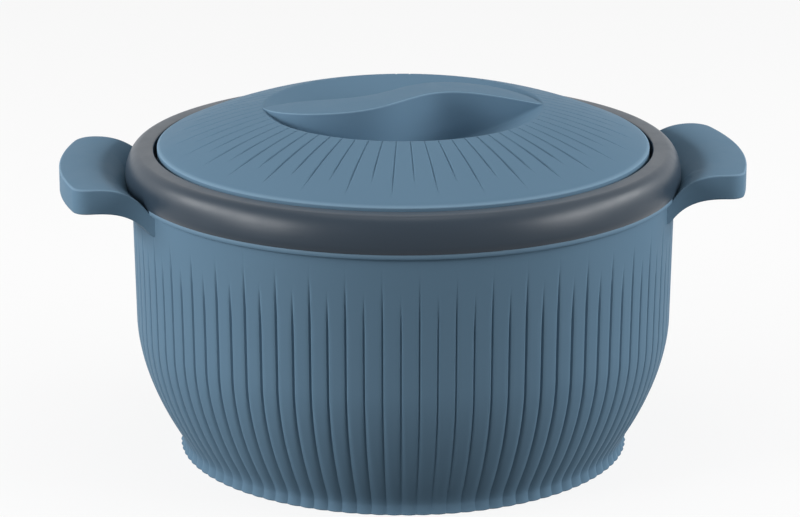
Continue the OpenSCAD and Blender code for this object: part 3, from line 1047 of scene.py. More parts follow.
@dataclass
class FillPlug:
    """Round plug that closes a foam filling hole, with a ring pressed into its head."""

    name: str
    seat_z: float
    wall: float
    finish: Finish
    body: Body
    slot: str
    node: str
    hole_r: float = 9.0
    clearance: float = 0.2
    head: float = 4.0
    head_t: float = 1.6
    groove_r: float = 4.0
    groove_half: float = 1.0
    groove_bed: float = 0.4
    groove_d: float = 0.3
    columns: int = 96

    def build(self) -> bpy.types.Object:
        """Make the plug, with its head below the seat.

        Returns:
            The finished piece.
        """
        z, low = self.seat_z, self.seat_z - self.head_t
        r, neck = self.hole_r + self.head, self.hole_r - self.clearance
        groove, half, bed = self.groove_r, self.groove_half, self.groove_bed
        section = eased([
            (0.0, low, 0.0), (groove - half, low, 0.4), (groove - bed, low + self.groove_d, 0.3),
            (groove + bed, low + self.groove_d, 0.3), (groove + half, low, 0.4),
            (r - self.head_t / 2, low, 0.5), (r, z - self.head_t / 2, 0.3), (r, z, 0.2),
            (neck, z, 0.1), (neck, z + self.wall, 0.3), (0.0, z + self.wall, 0.0),
        ])
        obj = lathe(self.name, section, even_turns(self.columns))
        finish_piece(obj, self.finish, self.body, self.slot, self.node)
        return obj


@dataclass
class RimCollar:
    """Grey collar with a rounded shoulder, lid ledge and skirt."""

    radius: float = 125.51
    low_z: float = 124.2
    height: float = 15.6
    wide_h: float = 3.3
    tuck: float = 0.9
    tuck_swing: float = 38.0
    shoulder: float = 6.6
    mouth_r: float = 112.61
    wall: float = 2.4
    ledge_w: float = 6.6
    ledge_drop: float = 8.8
    ledge_t: float = 2.6
    skirt: float = 4.0
    skirt_r: float = 119.42
    lead_in: float = 0.2
    hollow_from: float = 84.0
    tuck_steps: int = 8
    shoulder_steps: int = 20
    hollow_steps: int = 10
    ease_steps: int = 6
    columns: int = 360

    def build(self) -> bpy.types.Object:
        """Make the collar.

        Returns:
            The finished piece.
        """
        top = self.low_z + self.height
        wide = self.low_z + self.wide_h
        ledge = top - self.ledge_drop
        under = ledge - self.ledge_t
        foot = self.low_z - self.skirt
        inner = self.skirt_r - self.wall
        ledge_r = self.mouth_r - self.ledge_w
        hollow = self.mouth_r + self.wall
        middle = self.radius - self.shoulder
        rise = top - wide
        swing = math.radians(self.tuck_swing)
        tuck = (self.tuck / (1.0 - math.cos(swing)), self.wide_h / math.sin(swing))
        outside = [(self.radius - self.tuck - self.wall, self.low_z)]
        outside += arc((self.radius - tuck[0], wide), tuck, -self.tuck_swing, 0.0,
                       self.tuck_steps)[:-1]
        outside += arc((middle, wide), (self.shoulder, rise), 0.0, 90.0, self.shoulder_steps)
        mouth = eased([
            (middle - self.lead_in, top, 0.0), (self.mouth_r, top, 1.0),
            (self.mouth_r, ledge, 0.5),
            (ledge_r, ledge, 0.6), (ledge_r, under, 0.6), (inner, under, 0.3),
            (inner, foot, 0.5), (self.skirt_r, foot, 0.8), (self.skirt_r, ledge, 0.4),
            (hollow, ledge, 0.4), (hollow, top - self.wall, 0.6), (middle, top - self.wall, 0.0),
        ], self.ease_steps)[1:]
        inside = arc((middle, wide), (self.shoulder - self.wall, rise - self.wall),
                     self.hollow_from, 0.0, self.hollow_steps)
        obj = lathe("rim_collar_ring", outside + mouth + inside, even_turns(self.columns))
        finish_piece(obj, COLLAR_GREY, Body.CASSEROLE, "collar_plastic", "rim_collar")
        return obj


@dataclass
class SteelBowl:
    """Stainless steel bowl with a turned-out rim and a ring pressed into its floor."""

    radius: float = 103.02
    wall: float = 0.8
    floor_z: float = 24.0
    flat_r: float = 62.02
    curve_h: float = 44.0
    rim_w: float = 11.5
    rim_z: float = 128.2
    rim_round: float = 1.6
    rim_steps: int = 6
    curve_steps: int = 24
    # The pressed ring as radius and rise, from its outside to the axis
    floor_ring: tuple[Point, ...] = (
        (44.0, 0.0), (43.0, 0.25), (41.5, 0.8), (40.0, 1.05), (0.0, 1.05),
    )

    def curve(self, skin: float, start: float, end: float) -> list[Point]:
        """Points of the curve between wall and floor.

        Args:
            skin: Distance outside the inner face.
            start: Angle of the first point, 0 at the wall and 90 at the floor.
            end: Angle of the last point.

        Returns:
            The points, both ends included.
        """
        radius = (self.radius - self.flat_r + skin, -self.curve_h - skin)
        middle = (self.flat_r, self.floor_z + self.curve_h)
        return arc(middle, radius, start, end, self.curve_steps)

    def build(self) -> bpy.types.Object:
        """Make the bowl.

        Returns:
            The finished piece.
        """
        wall, curve = self.wall, self.rim_round
        floor_out = [(r, self.floor_z - wall + h) for r, h in reversed(self.floor_ring)]
        floor_in = [(r, self.floor_z + h) for r, h in self.floor_ring]
        turn = (self.radius + curve, self.rim_z - curve)
        lip = self.radius + self.rim_w
        rim = arc(turn, (curve - wall, curve - wall), 180.0, 90.0, self.rim_steps - 1)
        rim += [(lip, self.rim_z - wall), (lip, self.rim_z)]
        rim += arc(turn, (curve, curve), 90.0, 180.0, self.rim_steps)
        section = (floor_out + self.curve(wall, 90.0, 0.0) + rim
                   + self.curve(0.0, 0.0, 90.0) + floor_in)
        obj = lathe("steel_bowl", section)
        finish_piece(obj, BOWL_STEEL, Body.CASSEROLE, "bowl_steel", "inner_bowl")
        return obj


@dataclass
class LidLiner:
    """White liner that closes the lid from below and plugs the bowl."""

    plug_r: float = 101.5
    plug_z: float = 119.0
    rise: float = 3.0
    round: float = 5.0
    wall: float = 2.0
    flange_r: float = 108.4
    flange_z: float = 131.3
    hole_r: float = 9.0
    # Shallow groove in the underside: its two steps inwards of the round edge
    groove_in: Point = (14.0, 12.0)
    groove_out: float = 6.0
    groove_d: float = 0.8
    # Middle of the round edge as a share of it, and its inside's ends past the wall
    round_mid: float = 0.3
    inside_up: float = 0.6
    inside_back: float = 0.8
    ease_steps: int = 6

    def build(self) -> bpy.types.Object:
        """Make the liner.

        Returns:
            The finished piece.
        """
        r, z, w, curve = self.plug_r, self.plug_z, self.wall, self.round
        top = self.flange_z + w
        slope = self.rise / (r - curve)
        mouth = z + self.rise - slope * self.hole_r

        def under(back: float, lift: float = 0.0) -> Vertex:
            """Rounded corner of the sloping underside, back from its round edge."""
            return r - curve - back, z + slope * back + lift, 2.0

        section = eased([
            (self.hole_r, mouth, 0.0), under(self.groove_in[0]),
            under(self.groove_in[1], self.groove_d), under(self.groove_out, self.groove_d),
            under(0.0), (r - curve * self.round_mid, z + curve * self.round_mid, 3.0),
            (r, z + curve, 2.0),
            (r, self.flange_z, 0.5), (self.flange_r, self.flange_z, 0.4),
            (self.flange_r, top, 0.4), (r - w, top, 0.5),
            (r - w, z + curve + self.inside_up, 2.0), (r - curve - self.inside_back, z + w, 3.0),
            (self.hole_r, mouth + w, 0.3),
        ], self.ease_steps)
        obj = lathe("lid_liner_pan", section)
        finish_piece(obj, LINER_WHITE, Body.LID, "liner_plastic", "lid_liner")
        return obj


@dataclass
class SideHandle:
    """Side handle: a paddle that rises from the shell in a wave."""

    name: str
    node: str
    turned: bool
    # Outline from above
    root_r: float = 122.5
    reach: float = 154.9
    width: float = 95.0
    root_w: float = 95.0
    waist: float = 3.5
    bow: float = 8.2
    corner: float = 6.5
    corner_pull: float = 0.75
    side_steps: int = 18
    corner_steps: int = 14
    end_steps: int = 16
    # Section along the reach
    root_top: float = 121.5
    root_t: float = 9.0
    top: float = 135.5
    thickness: float = 11.4
    top_rise: float = 7.5
    under_rise: float = 7.5
    root_flat: float = 1.0
    droop: float = 1.3
    droop_from: float = 137.0
    edge: float = 0.8
    edge_steps: int = 6
    # Share of the top edge's rounding that gets a painted highlight
    lit_part: float = 0.9
    ways_in: tuple[float, ...] = (1.0, 0.8, 0.62, 0.46, 0.32, 0.2, 0.1, 0.04)
    # Tongue behind the shell's wall
    tongue_z: float = 116.5
    tongue_t: float = 4.6
    tongue_half: float = 17.0
    tongue_in: float = 4.2
    tongue_out: float = 0.4
    tongue_edge: float = 0.8
    tongue_steps: int = 24
    catch_h: float = 1.2
    catch_l: float = 1.8
    catch_gap: float = 0.2
    inside_r: float = 119.62
    merge: float = 0.0001

    def outline(self) -> list[tuple[float, float, float, float]]:
        """Outline from above as x, y and the outward direction of its wall.

        Returns:
            Points from the root's -Y end round the paddle's end to its +Y
            end. The root lies on the shell and isn't part of it.
        """
        half, root = self.width / 2, self.root_w / 2
        root_x = math.sqrt(self.root_r ** 2 - root ** 2)
        corner_y = half - self.corner
        corner_x = self.reach - self.bow * (corner_y / half) ** 2
        side_x = self.reach - self.bow - self.corner
        third = (side_x - root_x) / 3
        lean = 2 * self.bow * corner_y / half ** 2
        side = cubic((root_x, root), (root_x + third, root - self.waist),
                     (side_x - third, half), (side_x, half), self.side_steps)
        corner = cubic((side_x, half), (side_x + self.corner * self.corner_pull, half),
                       (corner_x - lean * self.corner / 2, half - self.corner / 2),
                       (corner_x, corner_y), self.corner_steps)
        across = (corner_y * (1 - i / self.end_steps) for i in range(1, 2 * self.end_steps))
        end = [(self.reach - self.bow * (y / half) ** 2, y) for y in across]
        upper = side + corner[1:]
        line = [(x, -y) for x, y in upper] + end[::-1] + upper[::-1]
        out = []
        for i, (x, y) in enumerate(line):
            x0, y0 = line[max(i - 1, 0)]
            x1, y1 = line[min(i + 1, len(line) - 1)]
            length = math.hypot(x1 - x0, y1 - y0)
            out.append((x, y, (y1 - y0) / length, -(x1 - x0) / length))
        return out

    def height_at(self, r: float, share: float) -> float:
        """Height of a point of the paddle.

        Args:
            r: Distance from the bowl's axis.
            share: From 0 on the underside to 1 on the top face.

        Returns:
            Its height above the table.
        """
        past = max(0.0, r - self.root_r - self.root_flat)
        high = self.top - (self.top - self.root_top) * math.exp(-past / self.top_rise)
        low_end = self.top - self.thickness
        low_start = self.root_top - self.root_t
        low = low_end - (low_end - low_start) * math.exp(-past / self.under_rise)
        out = max(0.0, r - self.droop_from) / (self.reach - self.droop_from)
        return low + (high - low) * share - self.droop * out * out

    def rows(self) -> list[tuple[float, float, float]]:
        """Rings of the paddle as inset, share of the way in and height share.

        Returns:
            Rings from the middle of the top face over the rounded edge and
            down to the middle of the underside.
        """
        turns = [math.radians(90.0 * i / self.edge_steps) for i in range(self.edge_steps + 1)]
        over = self.edge / self.thickness
        rows = [(self.edge, share, 1.0) for share in self.ways_in]
        rows += [(self.edge * (1 - math.sin(t)), 0.0, 1.0 - over * (1 - math.cos(t)))
                 for t in turns]
        return rows + [(inset, share, 1.0 - height) for inset, share, height in reversed(rows)]

    def build(self) -> bpy.types.Object:
        """Make the handle and turn it to its side of the bowl.

        Returns:
            The finished piece.
        """
        bm = bmesh.new()
        rings = self.add_paddle(bm)
        self.add_root(bm, [ring[0] for ring in rings])
        self.add_root(bm, [ring[-1] for ring in rings])
        bmesh.ops.remove_doubles(bm, verts=bm.verts[:], dist=self.merge)
        bmesh.ops.dissolve_degenerate(bm, edges=bm.edges[:], dist=self.merge / 10)
        mend(bm)
        self.add_tongue(bm)
        bmesh.ops.recalc_face_normals(bm, faces=bm.faces[:])
        for v in bm.verts:
            v.co *= MM
            if self.turned:
                v.co.x, v.co.y = -v.co.x, -v.co.y
        mesh = bpy.data.meshes.new(self.name)
        bm.to_mesh(mesh)
        bm.free()
        shade(mesh)
        obj = add_object(self.name, mesh)
        finish_piece(obj, SHELL_BLUE, Body.CASSEROLE, "shell_plastic", self.node)
        return obj

    def add_paddle(self, bm: bmesh.types.BMesh) -> list[list[bmesh.types.BMVert]]:
        """Add the paddle as rings that run in to its middle line.

        Args:
            bm: Mesh to add to, in millimetres.

        Returns:
            Points of each ring, open at the root.
        """
        edge = bm.verts.layers.float.new(HIGHLIGHT_EDGE)
        line = self.outline()
        last = len(line) - 1
        middle = self.reach - self.width / 2
        # Painted highlight on the rounded edge of the top face
        lit_from = 1.0 - self.lit_part * self.edge / self.thickness
        rings = []
        for inset, share, height in self.rows():
            lit = 1.0 if share == 0.0 and lit_from < height < 1.0 else 0.0
            ring = []
            for i, (x, y, nx, ny) in enumerate(line):
                at_root = i in (0, last)
                px, py = (x if at_root else x - nx * inset), y - ny * inset
                px, py = px + (min(px, middle) - px) * share, py * (1 - share)
                r = math.hypot(px, py)
                if at_root or r < self.root_r:
                    scale = self.root_r / r
                    px, py, r = px * scale, py * scale, self.root_r
                ring.append(bm.verts.new((px, py, self.height_at(r, height))))
                ring[-1][edge] = lit
            rings.append(ring)
        for a, b in zip(rings, rings[1:]):
            for i in range(last):
                bm.faces.new((a[i], b[i], b[i + 1], a[i + 1]))
        return rings

    def add_root(self, bm: bmesh.types.BMesh, ends: list[bmesh.types.BMVert]) -> None:
        """Close one half of the root, between its top and underside rows.

        Args:
            bm: Mesh to add to.
            ends: End point of each ring, from top to underside.
        """
        count = len(ends)
        for i in range(count // 2 - 1):
            bm.faces.new((ends[i], ends[i + 1], ends[count - 2 - i], ends[count - 1 - i]))

    def add_tongue(self, bm: bmesh.types.BMesh) -> None:
        """Add the tongue with its two catches behind the shell's wall.

        Args:
            bm: Mesh to add to, in millimetres.
        """
        half = self.tongue_t / 2
        tip = self.inside_r - self.tongue_in
        catch = self.inside_r - self.catch_gap
        upper = [(tip, half - self.tongue_edge), (tip + self.tongue_edge, half),
                 (catch - self.catch_l, half + self.catch_h), (catch, half + self.catch_h),
                 (catch, half), (self.root_r + self.tongue_out, half)]
        section = upper + [(r, -z) for r, z in reversed(upper)]
        rows = []
        for i in range(self.tongue_steps + 1):
            turn = math.radians(self.tongue_half * (2 * i / self.tongue_steps - 1))
            rows.append([bm.verts.new((r * math.cos(turn), r * math.sin(turn), self.tongue_z + z))
                         for r, z in section])
        for a, b in zip(rows, rows[1:]):
            for i in range(len(section)):
                k = (i + 1) % len(section)
                bm.faces.new((a[i], a[k], b[k], b[i]))
        bm.faces.new(rows[0])
        bm.faces.new(rows[-1][::-1])


@dataclass
class LidCover:
    """Domed lid cover with a finger dish, an S-shaped grip bar and grooves."""

    # Dome, edge and dish
    radius: float = 111.0
    skirt_z: float = 131.3
    skirt_edge: float = 0.3
    edge_z: float = 141.0
    edge_round: float = 0.7
    edge_from: float = 68.0
    edge_run: float = 2.2
    edge_steps: int = 6
    dome_h: float = 22.3
    dome_power: float = 2.35
    dome_steps: int = 22
    wall: float = 2.4
    dish_r: float = 63.0
    dish_depth: float = 27.0
    # Rows outwards of the dish's rim, rows under the dome and under the dish
    rim_rows: tuple[float, ...] = (0.0, 0.15, 0.35, 0.65, 1.05, 1.6, 2.4, 3.6)
    under_gap: float = 1.0
    under_steps: int = 12
    under_rows: tuple[float, ...] = (56.0, 48.0, 38.0, 26.0, 14.0, 0.0)
    # Grip bar: the S of its flank
    lobe: float = 26.0
    lobe_x: float = 27.0
    lobe_pull: float = 0.4
    hollow: float = 3.6
    hollow_pull: float = 0.7
    cross: float = 12.0
    slope: Point = (8.0, 7.5)
    tip_y: Point = (1.0, -2.5)
    tip_swell: float = 0.65
    flank_steps: tuple[int, ...] = (60, 40, 30, 40)
    # Grip bar: the roundings of its foot and head, and the shares that they may take
    bar_round: float = 0.5
    bar_foot: float = 1.6
    foot_part: float = 0.3
    head_part: float = 0.25
    reach_part: float = 0.4
    least_lean: float = 0.25
    head_reach: float = 1.2
    # Shares of the rows over the foot's rounding, the dish's floor, the wall and the head
    foot_rows: tuple[float, ...] = (0.0, 0.12, 0.32, 0.6, 1.0)
    floor_rows: tuple[float, ...] = (
        0.12, 0.25, 0.4, 0.55, 0.68, 0.79, 0.87, 0.93, 0.965, 0.985, 0.995,
    )
    wall_rows: tuple[float, ...] = (0.2, 0.42, 0.64, 0.82, 0.93, 0.98, 1.0)
    head_rows: tuple[float, ...] = (0.15, 0.4, 0.7, 1.0)
    top_steps: int = 10
    # Radial grooves
    rays: int = 66
    ray_turn: float = 3.2
    ray_depth: float = 0.7
    ray_side: float = 40.0
    ray_tip: float = 0.3
    ray_thin: float = 0.4
    ray_in: float = 2.6
    long_margin: float = 6.0
    short_margin: float = 14.0
    columns: int = 12
    gather: float = 0.6
    merge: float = 0.002

    def dome(self, r: float) -> float:
        """Height of the dome at radius r."""
        return self.edge_z + self.dome_h * (1.0 - min(1.0, r / self.radius) ** self.dome_power)

    @property
    def dish_z(self) -> float:
        """Height of the dish's middle."""
        return self.edge_z + self.dome_h - self.dish_depth

    def dish(self, r: float) -> float:
        """Height of the finger dish at radius r."""
        return self.dish_z + (self.dome(self.dish_r) - self.dish_z) * (r / self.dish_r) ** 2

    def skin(self, r: float, blend: float = 1.0) -> float:
        """Height where dome and dish meet in a small round edge.

        Args:
            r: Distance from the axis.
            blend: Difference of their heights within which they blend.

        Returns:
            Height of the skin.
        """
        a, b = self.dome(r), self.dish(r)
        h = max(blend - abs(a - b), 0.0) / blend
        return min(a, b) - h * h * blend / 4.0

    def flank(self) -> list[Point]:
        """Front flank of the grip bar, seen from above.

        Returns:
            Its points, from the left tip to the right tip.
        """
        pull = (self.dish_r - self.lobe_x) * self.lobe_pull
        bow = pull * self.hollow_pull
        sx, sy = self.slope
        left, right = (-self.dish_r, self.tip_y[0]), (self.dish_r, self.tip_y[1])
        lobe, hollow = (-self.lobe_x, -self.lobe), (self.lobe_x, self.hollow)
        cross = (self.cross - sx, -sy)
        swell = (left[0] + pull / 3, left[1] - self.lobe * self.tip_swell)
        curves = [
            (left, swell, (lobe[0] - pull, lobe[1]), lobe),
            (lobe, (lobe[0] + pull, lobe[1]), (cross[0] - sx, cross[1] - sy), cross),
            (cross, (cross[0] + sx, cross[1] + sy), (hollow[0] - bow, hollow[1]), hollow),
            (hollow, (hollow[0] + bow, hollow[1]), (right[0] - pull, right[1]), right),
        ]
        out = [left]
        for curve, steps in zip(curves, self.flank_steps):
            out += cubic(*curve, steps)[1:]
        return out

    def flank_at(self, x: float) -> tuple[float, float]:
        """Where the front flank lies at x.

        Args:
            x: Place along the bar.

        Returns:
            Its y and the cosine of its slope there.
        """
        line = self.flank()
        x = min(max(x, line[0][0]), line[-1][0])
        for (x0, y0), (x1, y1) in zip(line, line[1:]):
            if x <= x1:
                t = (x - x0) / max(x1 - x0, TINY)
                return y0 + (y1 - y0) * t, (x1 - x0) / math.hypot(x1 - x0, y1 - y0)
        return line[-1][1], 1.0

    def ray_tree(self) -> RuleTree:
        """Geometry Nodes tree that presses the radial grooves into the dome.

        Returns:
            The tree. V grooves start at the dish, grow deeper and end in a
            point, long and short by turns.
        """
        rule = RuleTree("press_rays", {
            "First Turn": math.radians(self.ray_turn), "Groove Depth": self.ray_depth * MM,
            "Side": math.radians(self.ray_side), "Dish Radius": self.dish_r * MM,
            "Long End": (self.radius - self.long_margin) * MM,
            "Short End": (self.radius - self.short_margin) * MM,
            "Lid Radius": self.radius * MM, "Edge Height": self.edge_z * MM,
            "Dome Height": self.dome_h * MM, "Dome Power": self.dome_power,
            "Tip Share": self.ray_tip, "Thin": self.ray_thin,
        }, {"Rays": self.rays})
        m, size = rule.w.math, rule.size
        x, y, z, radius, turn = rule.place()
        pitch = m("DIVIDE", 2 * math.pi, size("Rays"))
        steps = m("DIVIDE", m("SUBTRACT", m("ADD", turn, math.pi / 2), size("First Turn")), pitch)
        number = m("ROUND", steps)
        swing = m("MULTIPLY", m("SUBTRACT", steps, number), pitch)
        aside = m("MULTIPLY", radius, m("ABSOLUTE", m("SINE", swing)))
        odd = m("ABSOLUTE", m("MODULO", number, 2.0))
        span = m("SUBTRACT", size("Long End"), size("Short End"))
        end = m("SUBTRACT", size("Long End"), m("MULTIPLY", odd, span))
        run = m("SUBTRACT", end, size("Dish Radius"))
        left = rule.w.clamp(m("DIVIDE", m("SUBTRACT", end, radius), run))
        tip = rule.w.clamp(m("DIVIDE", left, size("Tip Share")))
        fade = m("MULTIPLY", tip, m("SUBTRACT", 1.0, m("MULTIPLY", left, size("Thin"))))
        reach = m("POWER", m("DIVIDE", radius, size("Lid Radius")), size("Dome Power"))
        swell = m("MULTIPLY", size("Dome Height"), m("SUBTRACT", 1.0, reach))
        dome = m("ADD", size("Edge Height"), swell)
        bed = m("SUBTRACT", dome, m("MULTIPLY", size("Groove Depth"), fade))
        side = m("ADD", bed, m("MULTIPLY", aside, m("TANGENT", size("Side"))))
        rule.end({0: x, 1: y, 2: m("MINIMUM", z, side)}, GROOVED)
        return rule

    def build(self) -> bpy.types.Object:
        """Make the cover as one closed skin.

        Returns:
            The finished piece.
        """
        turns = gathered_turns(self.rays, self.ray_turn + FRONT, self.columns, self.gather)
        mesh = RowMesh(turns)
        start = self.dish_r + self.rim_rows[-1]
        run = self.radius - self.edge_run * self.edge_round - start
        domed = [self.dish_r + d for d in self.rim_rows]
        domed += [start + run * i / self.dome_steps for i in range(1, self.dome_steps + 1)]
        rows = [mesh.ring(r, self.skin(r)) for r in domed]
        grooved = set(range(len(mesh.vertices)))
        # Painted highlight on the rounded outer edge of the cover
        edge = arc((self.radius - self.edge_round, self.edge_z - self.edge_round),
                   (self.edge_round, self.edge_round), self.edge_from, 0.0, self.edge_steps)
        rows += [mesh.ring(r, z) for r, z in edge]
        lit = set(range(len(grooved), len(mesh.vertices) - len(turns)))
        rows += [mesh.ring(r, z) for r, z in self.underside()]
        for low, high in zip(rows, rows[1:]):
            mesh.join(high, low)
        self.add_middle(mesh, rows[0], grooved, lit)
        obj = mesh.build("lid_dome")
        mark(obj.data, GROOVED, grooved)
        mark(obj.data, HIGHLIGHT_EDGE, lit)
        self.close(obj)
        self.ray_tree().apply(obj, LID_BLUE)
        finish_piece(obj, LID_BLUE, Body.LID, "lid_plastic", "lid_cover")
        return obj

    def underside(self) -> list[Point]:
        """Skirt and underside of the cover.

        Returns:
            Their points, from the edge to the axis.
        """
        inner = self.radius - self.wall
        bowl = self.dish_r + self.wall
        steps = self.under_steps
        domed = [inner * math.sin(math.pi / 2 * k / steps) for k in range(steps - 1, 0, -1)]
        domed = [inner] + [r for r in domed if r > bowl + self.under_gap]
        return [(self.radius, self.skirt_z + self.skirt_edge),
                (self.radius - self.skirt_edge, self.skirt_z), (inner, self.skirt_z),
                *((r, self.dome(r) - self.wall) for r in domed),
                *((r, self.dish(r) - self.wall) for r in (bowl, *self.under_rows))]

    def add_middle(self, mesh: RowMesh, rim: Sequence[int], grooved: set[int],
                   lit: set[int]) -> None:
        """Add the dish's two halves, the bar's walls and its top.

        Args:
            mesh: Mesh to add to.
            rim: Numbers of the points of the dish's rim.
            grooved: Numbers of the points that the grooves may lower.
            lit: Numbers of the points that get a painted edge highlight.
        """
        count = len(rim)

        def column(place: Point) -> int:
            """Find the column nearest to a place.

            Args:
                place: Its x and y.

            Returns:
                Number of the column.
            """
            degrees = math.degrees(math.atan2(place[1], place[0]))

            def off(i: int) -> float:
                """Distance of a column from the place's angle."""
                return abs((math.degrees(mesh.turns[i]) - degrees + 180.0) % 360.0 - 180.0)
            return min(range(count), key=off)

        line = self.flank()
        left, right = column(line[0]), column(line[-1])
        tops = []
        for shift, sign in ((0, 1.0), (count // 2, -1.0)):
            walk = [(left + shift + i) % count for i in range((right - left) % count + 1)]
            halves = [self.add_column(mesh, rim[c], sign, grooved) for c in walk]
            floors, walls = zip(*halves)
            for rows in (floors, walls):
                for a, b in zip(rows, rows[1:]):
                    mesh.join(a, b, closed=False)
            tops.append([wall[-1] for wall in walls])
        self.add_bar_top(mesh, tops[0], tops[1][::-1], lit)

    def add_column(self, mesh: RowMesh, outer: int, sign: float,
                   grooved: set[int]) -> tuple[list[int], list[int]]:
        """Add a column of the dish's floor and of the bar's wall above it.

        Args:
            mesh: Mesh to add to.
            outer: Number of the column's point on the dish's rim.
            sign: 1 for the front half, -1 for the back one, which is the
                front turned by half a turn.
            grooved: Numbers of the points that the grooves may lower.

        Returns:
            Numbers of the floor's points, from the bar to the rim, and of
            the wall's points, from its foot to its head.
        """
        rx, ry = mesh.vertices[outer][0] * sign, mesh.vertices[outer][1] * sign
        y, lean = self.flank_at(rx)
        y = max(y, ry)
        r = math.hypot(rx, y)
        high, low = self.dome(r), self.skin(r)
        rise = max(high - low, 0.0)
        foot = min(self.bar_foot, rise * self.foot_part)
        head = min(self.bar_round, rise * self.head_part)
        length = y - ry
        reach = min(foot / max(lean, self.least_lean), length * self.reach_part)
        near = [reach * k for k in self.foot_rows]
        far = [reach + (length - reach) * k for k in self.floor_rows]
        floor = []
        for n, d in enumerate(near + far):
            pr = math.hypot(rx, y - d)
            lift = foot * quarter(d / reach) if n < len(near) and reach > TINY else 0.0
            z = self.skin(min(pr, self.dish_r)) + lift
            floor.append(mesh.point(rx * sign, (y - d) * sign, z))
            if pr > self.dish_r - self.ray_in:
                grooved.add(floor[-1])
        heights = [(low + foot) * (1 - t) + (high - head) * t for t in self.wall_rows]
        wall = [mesh.point(rx * sign, y * sign, z) for z in heights]
        return floor + [outer], floor[:1] + wall

    def add_bar_top(self, mesh: RowMesh, front: Sequence[int], back: Sequence[int],
                    lit: set[int]) -> None:
        """Close the bar between the heads of its two walls.

        Args:
            mesh: Mesh to add to.
            front: Numbers of the front wall's head points, from left to right.
            back: Numbers of the back wall's head points, from left to right.
            lit: Numbers of the points that get a painted edge highlight.
        """
        rows = []
        for a, b in zip(front, back):
            pa, pb = Vector(mesh.vertices[a]), Vector(mesh.vertices[b])
            head_a, head_b = (self.dome(math.hypot(p.x, p.y)) - p.z for p in (pa, pb))
            span = (pb - pa).length
            lead = min(self.bar_round * self.head_reach, span * self.head_part)
            near = [lead * k / max(span, TINY) for k in self.head_rows]
            run = 1 - 2 * near[-1]
            middle = [near[-1] + run * k / self.top_steps for k in range(1, self.top_steps)]
            first = len(mesh.vertices)
            # Painted highlight along the bar's head edges
            lit |= {a, b, first, first + 1}
            row = [a]
            for t in near + middle + [1 - k for k in reversed(near)]:
                p = pa.lerp(pb, t)
                off = min(t, 1 - t) * span / max(lead, TINY)
                drop = (head_a if t < 0.5 else head_b) * quarter(off)
                row.append(mesh.point(p.x, p.y, self.dome(math.hypot(p.x, p.y)) - drop))
            rows.append(row + [b])
        for a, b in zip(rows, rows[1:]):
            mesh.join(a, b, closed=False)

    def close(self, obj: bpy.types.Object) -> None:
        """Merge the points that meet at the bar's tips and turn all faces out.

        Args:
            obj: The cover.
        """
        bm = bmesh.new()
        bm.from_mesh(obj.data)
        bmesh.ops.remove_doubles(bm, verts=bm.verts[:], dist=self.merge * MM)
        bmesh.ops.dissolve_degenerate(bm, edges=bm.edges[:], dist=self.merge * MM)
        mend(bm)
        bmesh.ops.recalc_face_normals(bm, faces=bm.faces[:])
        bm.to_mesh(obj.data)
        bm.free()


# --------------------------------------------------------------------- stage


@dataclass
class SoftBox:
    """Rectangular lamp that looks at a point of the object, in metres."""

    name: str
    place: Vertex
    size: float
    watts: float
    target: Vertex = (0.0, 0.0, 0.1)
    wide: float = 1.0

    def build(self) -> None:
        """Make the lamp."""
        data = bpy.data.lights.new(self.name, "AREA")
        data.shape = "RECTANGLE"
        data.size = self.size * self.wide
        data.size_y = self.size
        data.energy = self.watts
        lamp = add_object(self.name, data)
        lamp.location = self.place
        away = Vector(self.place) - Vector(self.target)
        lamp.rotation_euler = away.to_track_quat("Z", "Y").to_euler()


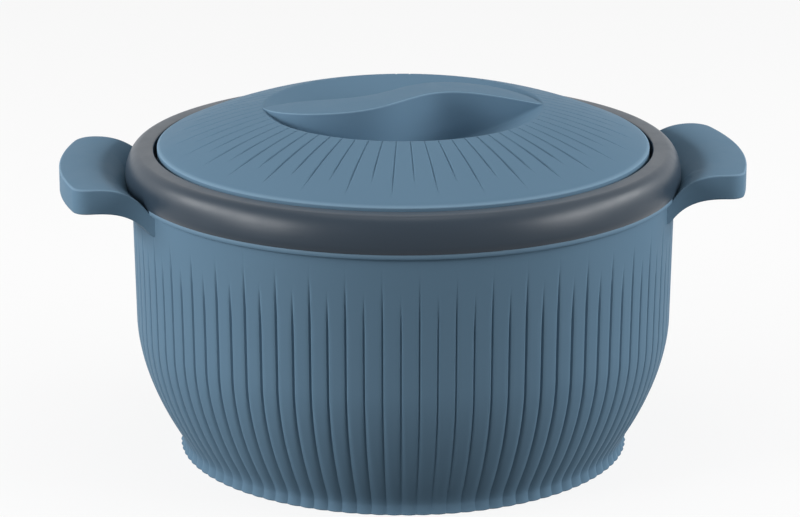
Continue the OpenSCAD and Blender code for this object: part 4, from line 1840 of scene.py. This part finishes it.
@dataclass
class Studio:
    """White floor and world, soft lamps and the camera, in metres."""

    ambient: float = 0.25
    bounce: float = 0.16
    floor_tone: float = 0.9
    floor_glow: float = 0.85
    floor_size: float = 6.0
    lens: float = 140.1
    sensor: float = 36.0
    camera_place: Vertex = (-0.1212, -1.3576, 0.4930)
    camera_turn: Vertex = (73.36, 0.0, -5.1)
    shift_x: float = -0.0039
    boxes: list[SoftBox] = field(default_factory=lambda: [
        SoftBox("lamp_top", (0.0, 0.0, 1.6), 0.9, 3.0),
        SoftBox("lamp_left", (-1.38, -0.2, 0.66), 0.4, 17.5, wide=3.75),
        SoftBox("lamp_right", (1.38, -0.2, 0.66), 0.4, 15.5, wide=3.75),
        SoftBox("lamp_high", (0.96, 0.0, 1.25), 1.0, 1.5),
        SoftBox("lamp_front_left", (-1.3, -0.7, 0.36), 0.5, 4.0),
        SoftBox("lamp_front_right", (1.25, -0.65, 0.36), 0.5, 2.8),
    ])

    def seen(self, w: NodeWriter) -> bpy.types.NodeSocket:
        """Tell which rays show the backdrop as white.

        Args:
            w: Writer of the world's or the floor's nodes.

        Returns:
            Socket that is 1 for those rays.
        """
        path = w.add("ShaderNodeLightPath").outputs
        rays = w.math("MAXIMUM", path["Is Camera Ray"], path["Is Glossy Ray"])
        return w.math("MAXIMUM", rays, path["Is Transmission Ray"])

    def build_world(self) -> None:
        """Make a world that lights softly and shows as white."""
        world = bpy.data.worlds.new("studio")
        w = fresh_nodes(world)
        strength = w.add("ShaderNodeMapRange", {
            "Value": self.seen(w), "To Min": self.ambient, "To Max": 1.0,
        })
        back = w.add("ShaderNodeBackground", {"Color": WHITE, "Strength": strength.outputs[0]})
        w.add("ShaderNodeOutputWorld", {"Surface": back.outputs[0]})
        bpy.context.scene.world = world

    def build_floor(self) -> None:
        """Make the white floor, which keeps a faint shadow."""
        half = self.floor_size / 2
        corners = [(-half, -half, 0.0), (half, -half, 0.0), (half, half, 0.0), (-half, half, 0.0)]
        mesh = bpy.data.meshes.new("floor")
        mesh.from_pydata(corners, [], [(0, 1, 2, 3)])
        floor = add_object("floor", mesh)
        material = bpy.data.materials.new("floor_white")
        w = fresh_nodes(material)
        seen = self.seen(w)
        tone = w.add("ShaderNodeMapRange", {
            "Value": seen, "To Min": self.bounce, "To Max": self.floor_tone,
        })
        matt = w.add("ShaderNodeBsdfDiffuse", {"Color": tone.outputs[0]})
        glow = w.add("ShaderNodeEmission", {"Color": WHITE, "Strength": 1.0})
        share = w.math("MULTIPLY", seen, self.floor_glow)
        mix = w.add("ShaderNodeMixShader", {0: share, 1: matt.outputs[0], 2: glow.outputs[0]})
        w.add("ShaderNodeOutputMaterial", {"Surface": mix.outputs[0]})
        mesh.materials.append(material)

    def build_camera(self) -> None:
        """Make the camera at the photograph's angle."""
        data = bpy.data.cameras.new("camera")
        data.lens = self.lens
        data.sensor_width = self.sensor
        data.shift_x = self.shift_x
        camera = add_object("camera", data)
        camera.location = self.camera_place
        camera.rotation_euler = Euler([math.radians(a) for a in self.camera_turn])
        bpy.context.scene.camera = camera

    def build(self) -> None:
        """Make the whole stage."""
        bpy.context.scene.view_settings.view_transform = "Standard"
        self.build_camera()
        self.build_world()
        self.build_floor()
        for box in self.boxes:
            box.build()


def dress_foam() -> None:
    """Give the two foam cores, which stay as the CAD made them, their finish."""
    for name in ("body_foam", "lid_foam"):
        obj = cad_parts[name]
        obj.data.materials.clear()
        obj.data.materials.append(CORE_FOAM.material())


def main() -> None:
    """Build the studio and the casserole, piece by piece."""
    logging.basicConfig(level=logging.INFO, format="%(name)s: %(message)s")
    Studio().build()
    Finish.prepare()
    FlutedShell().build()
    RimCollar().build()
    SideHandle("handle_paddle_right", "handle_right", turned=False).build()
    SideHandle("handle_paddle_left", "handle_left", turned=True).build()
    SteelBowl().build()
    LidCover().build()
    LidLiner().build()
    FillPlug("base_plug", seat_z=3.4, wall=3.0, finish=SHELL_BLUE, body=Body.CASSEROLE,
             slot="shell_plastic", node="fill_plug").build()
    FillPlug("liner_plug", seat_z=121.7, wall=2.0, finish=LINER_WHITE, body=Body.LID,
             slot="liner_plastic", node="lid_fill_plug").build()
    dress_foam()


if __name__ == "__main__":
    main()
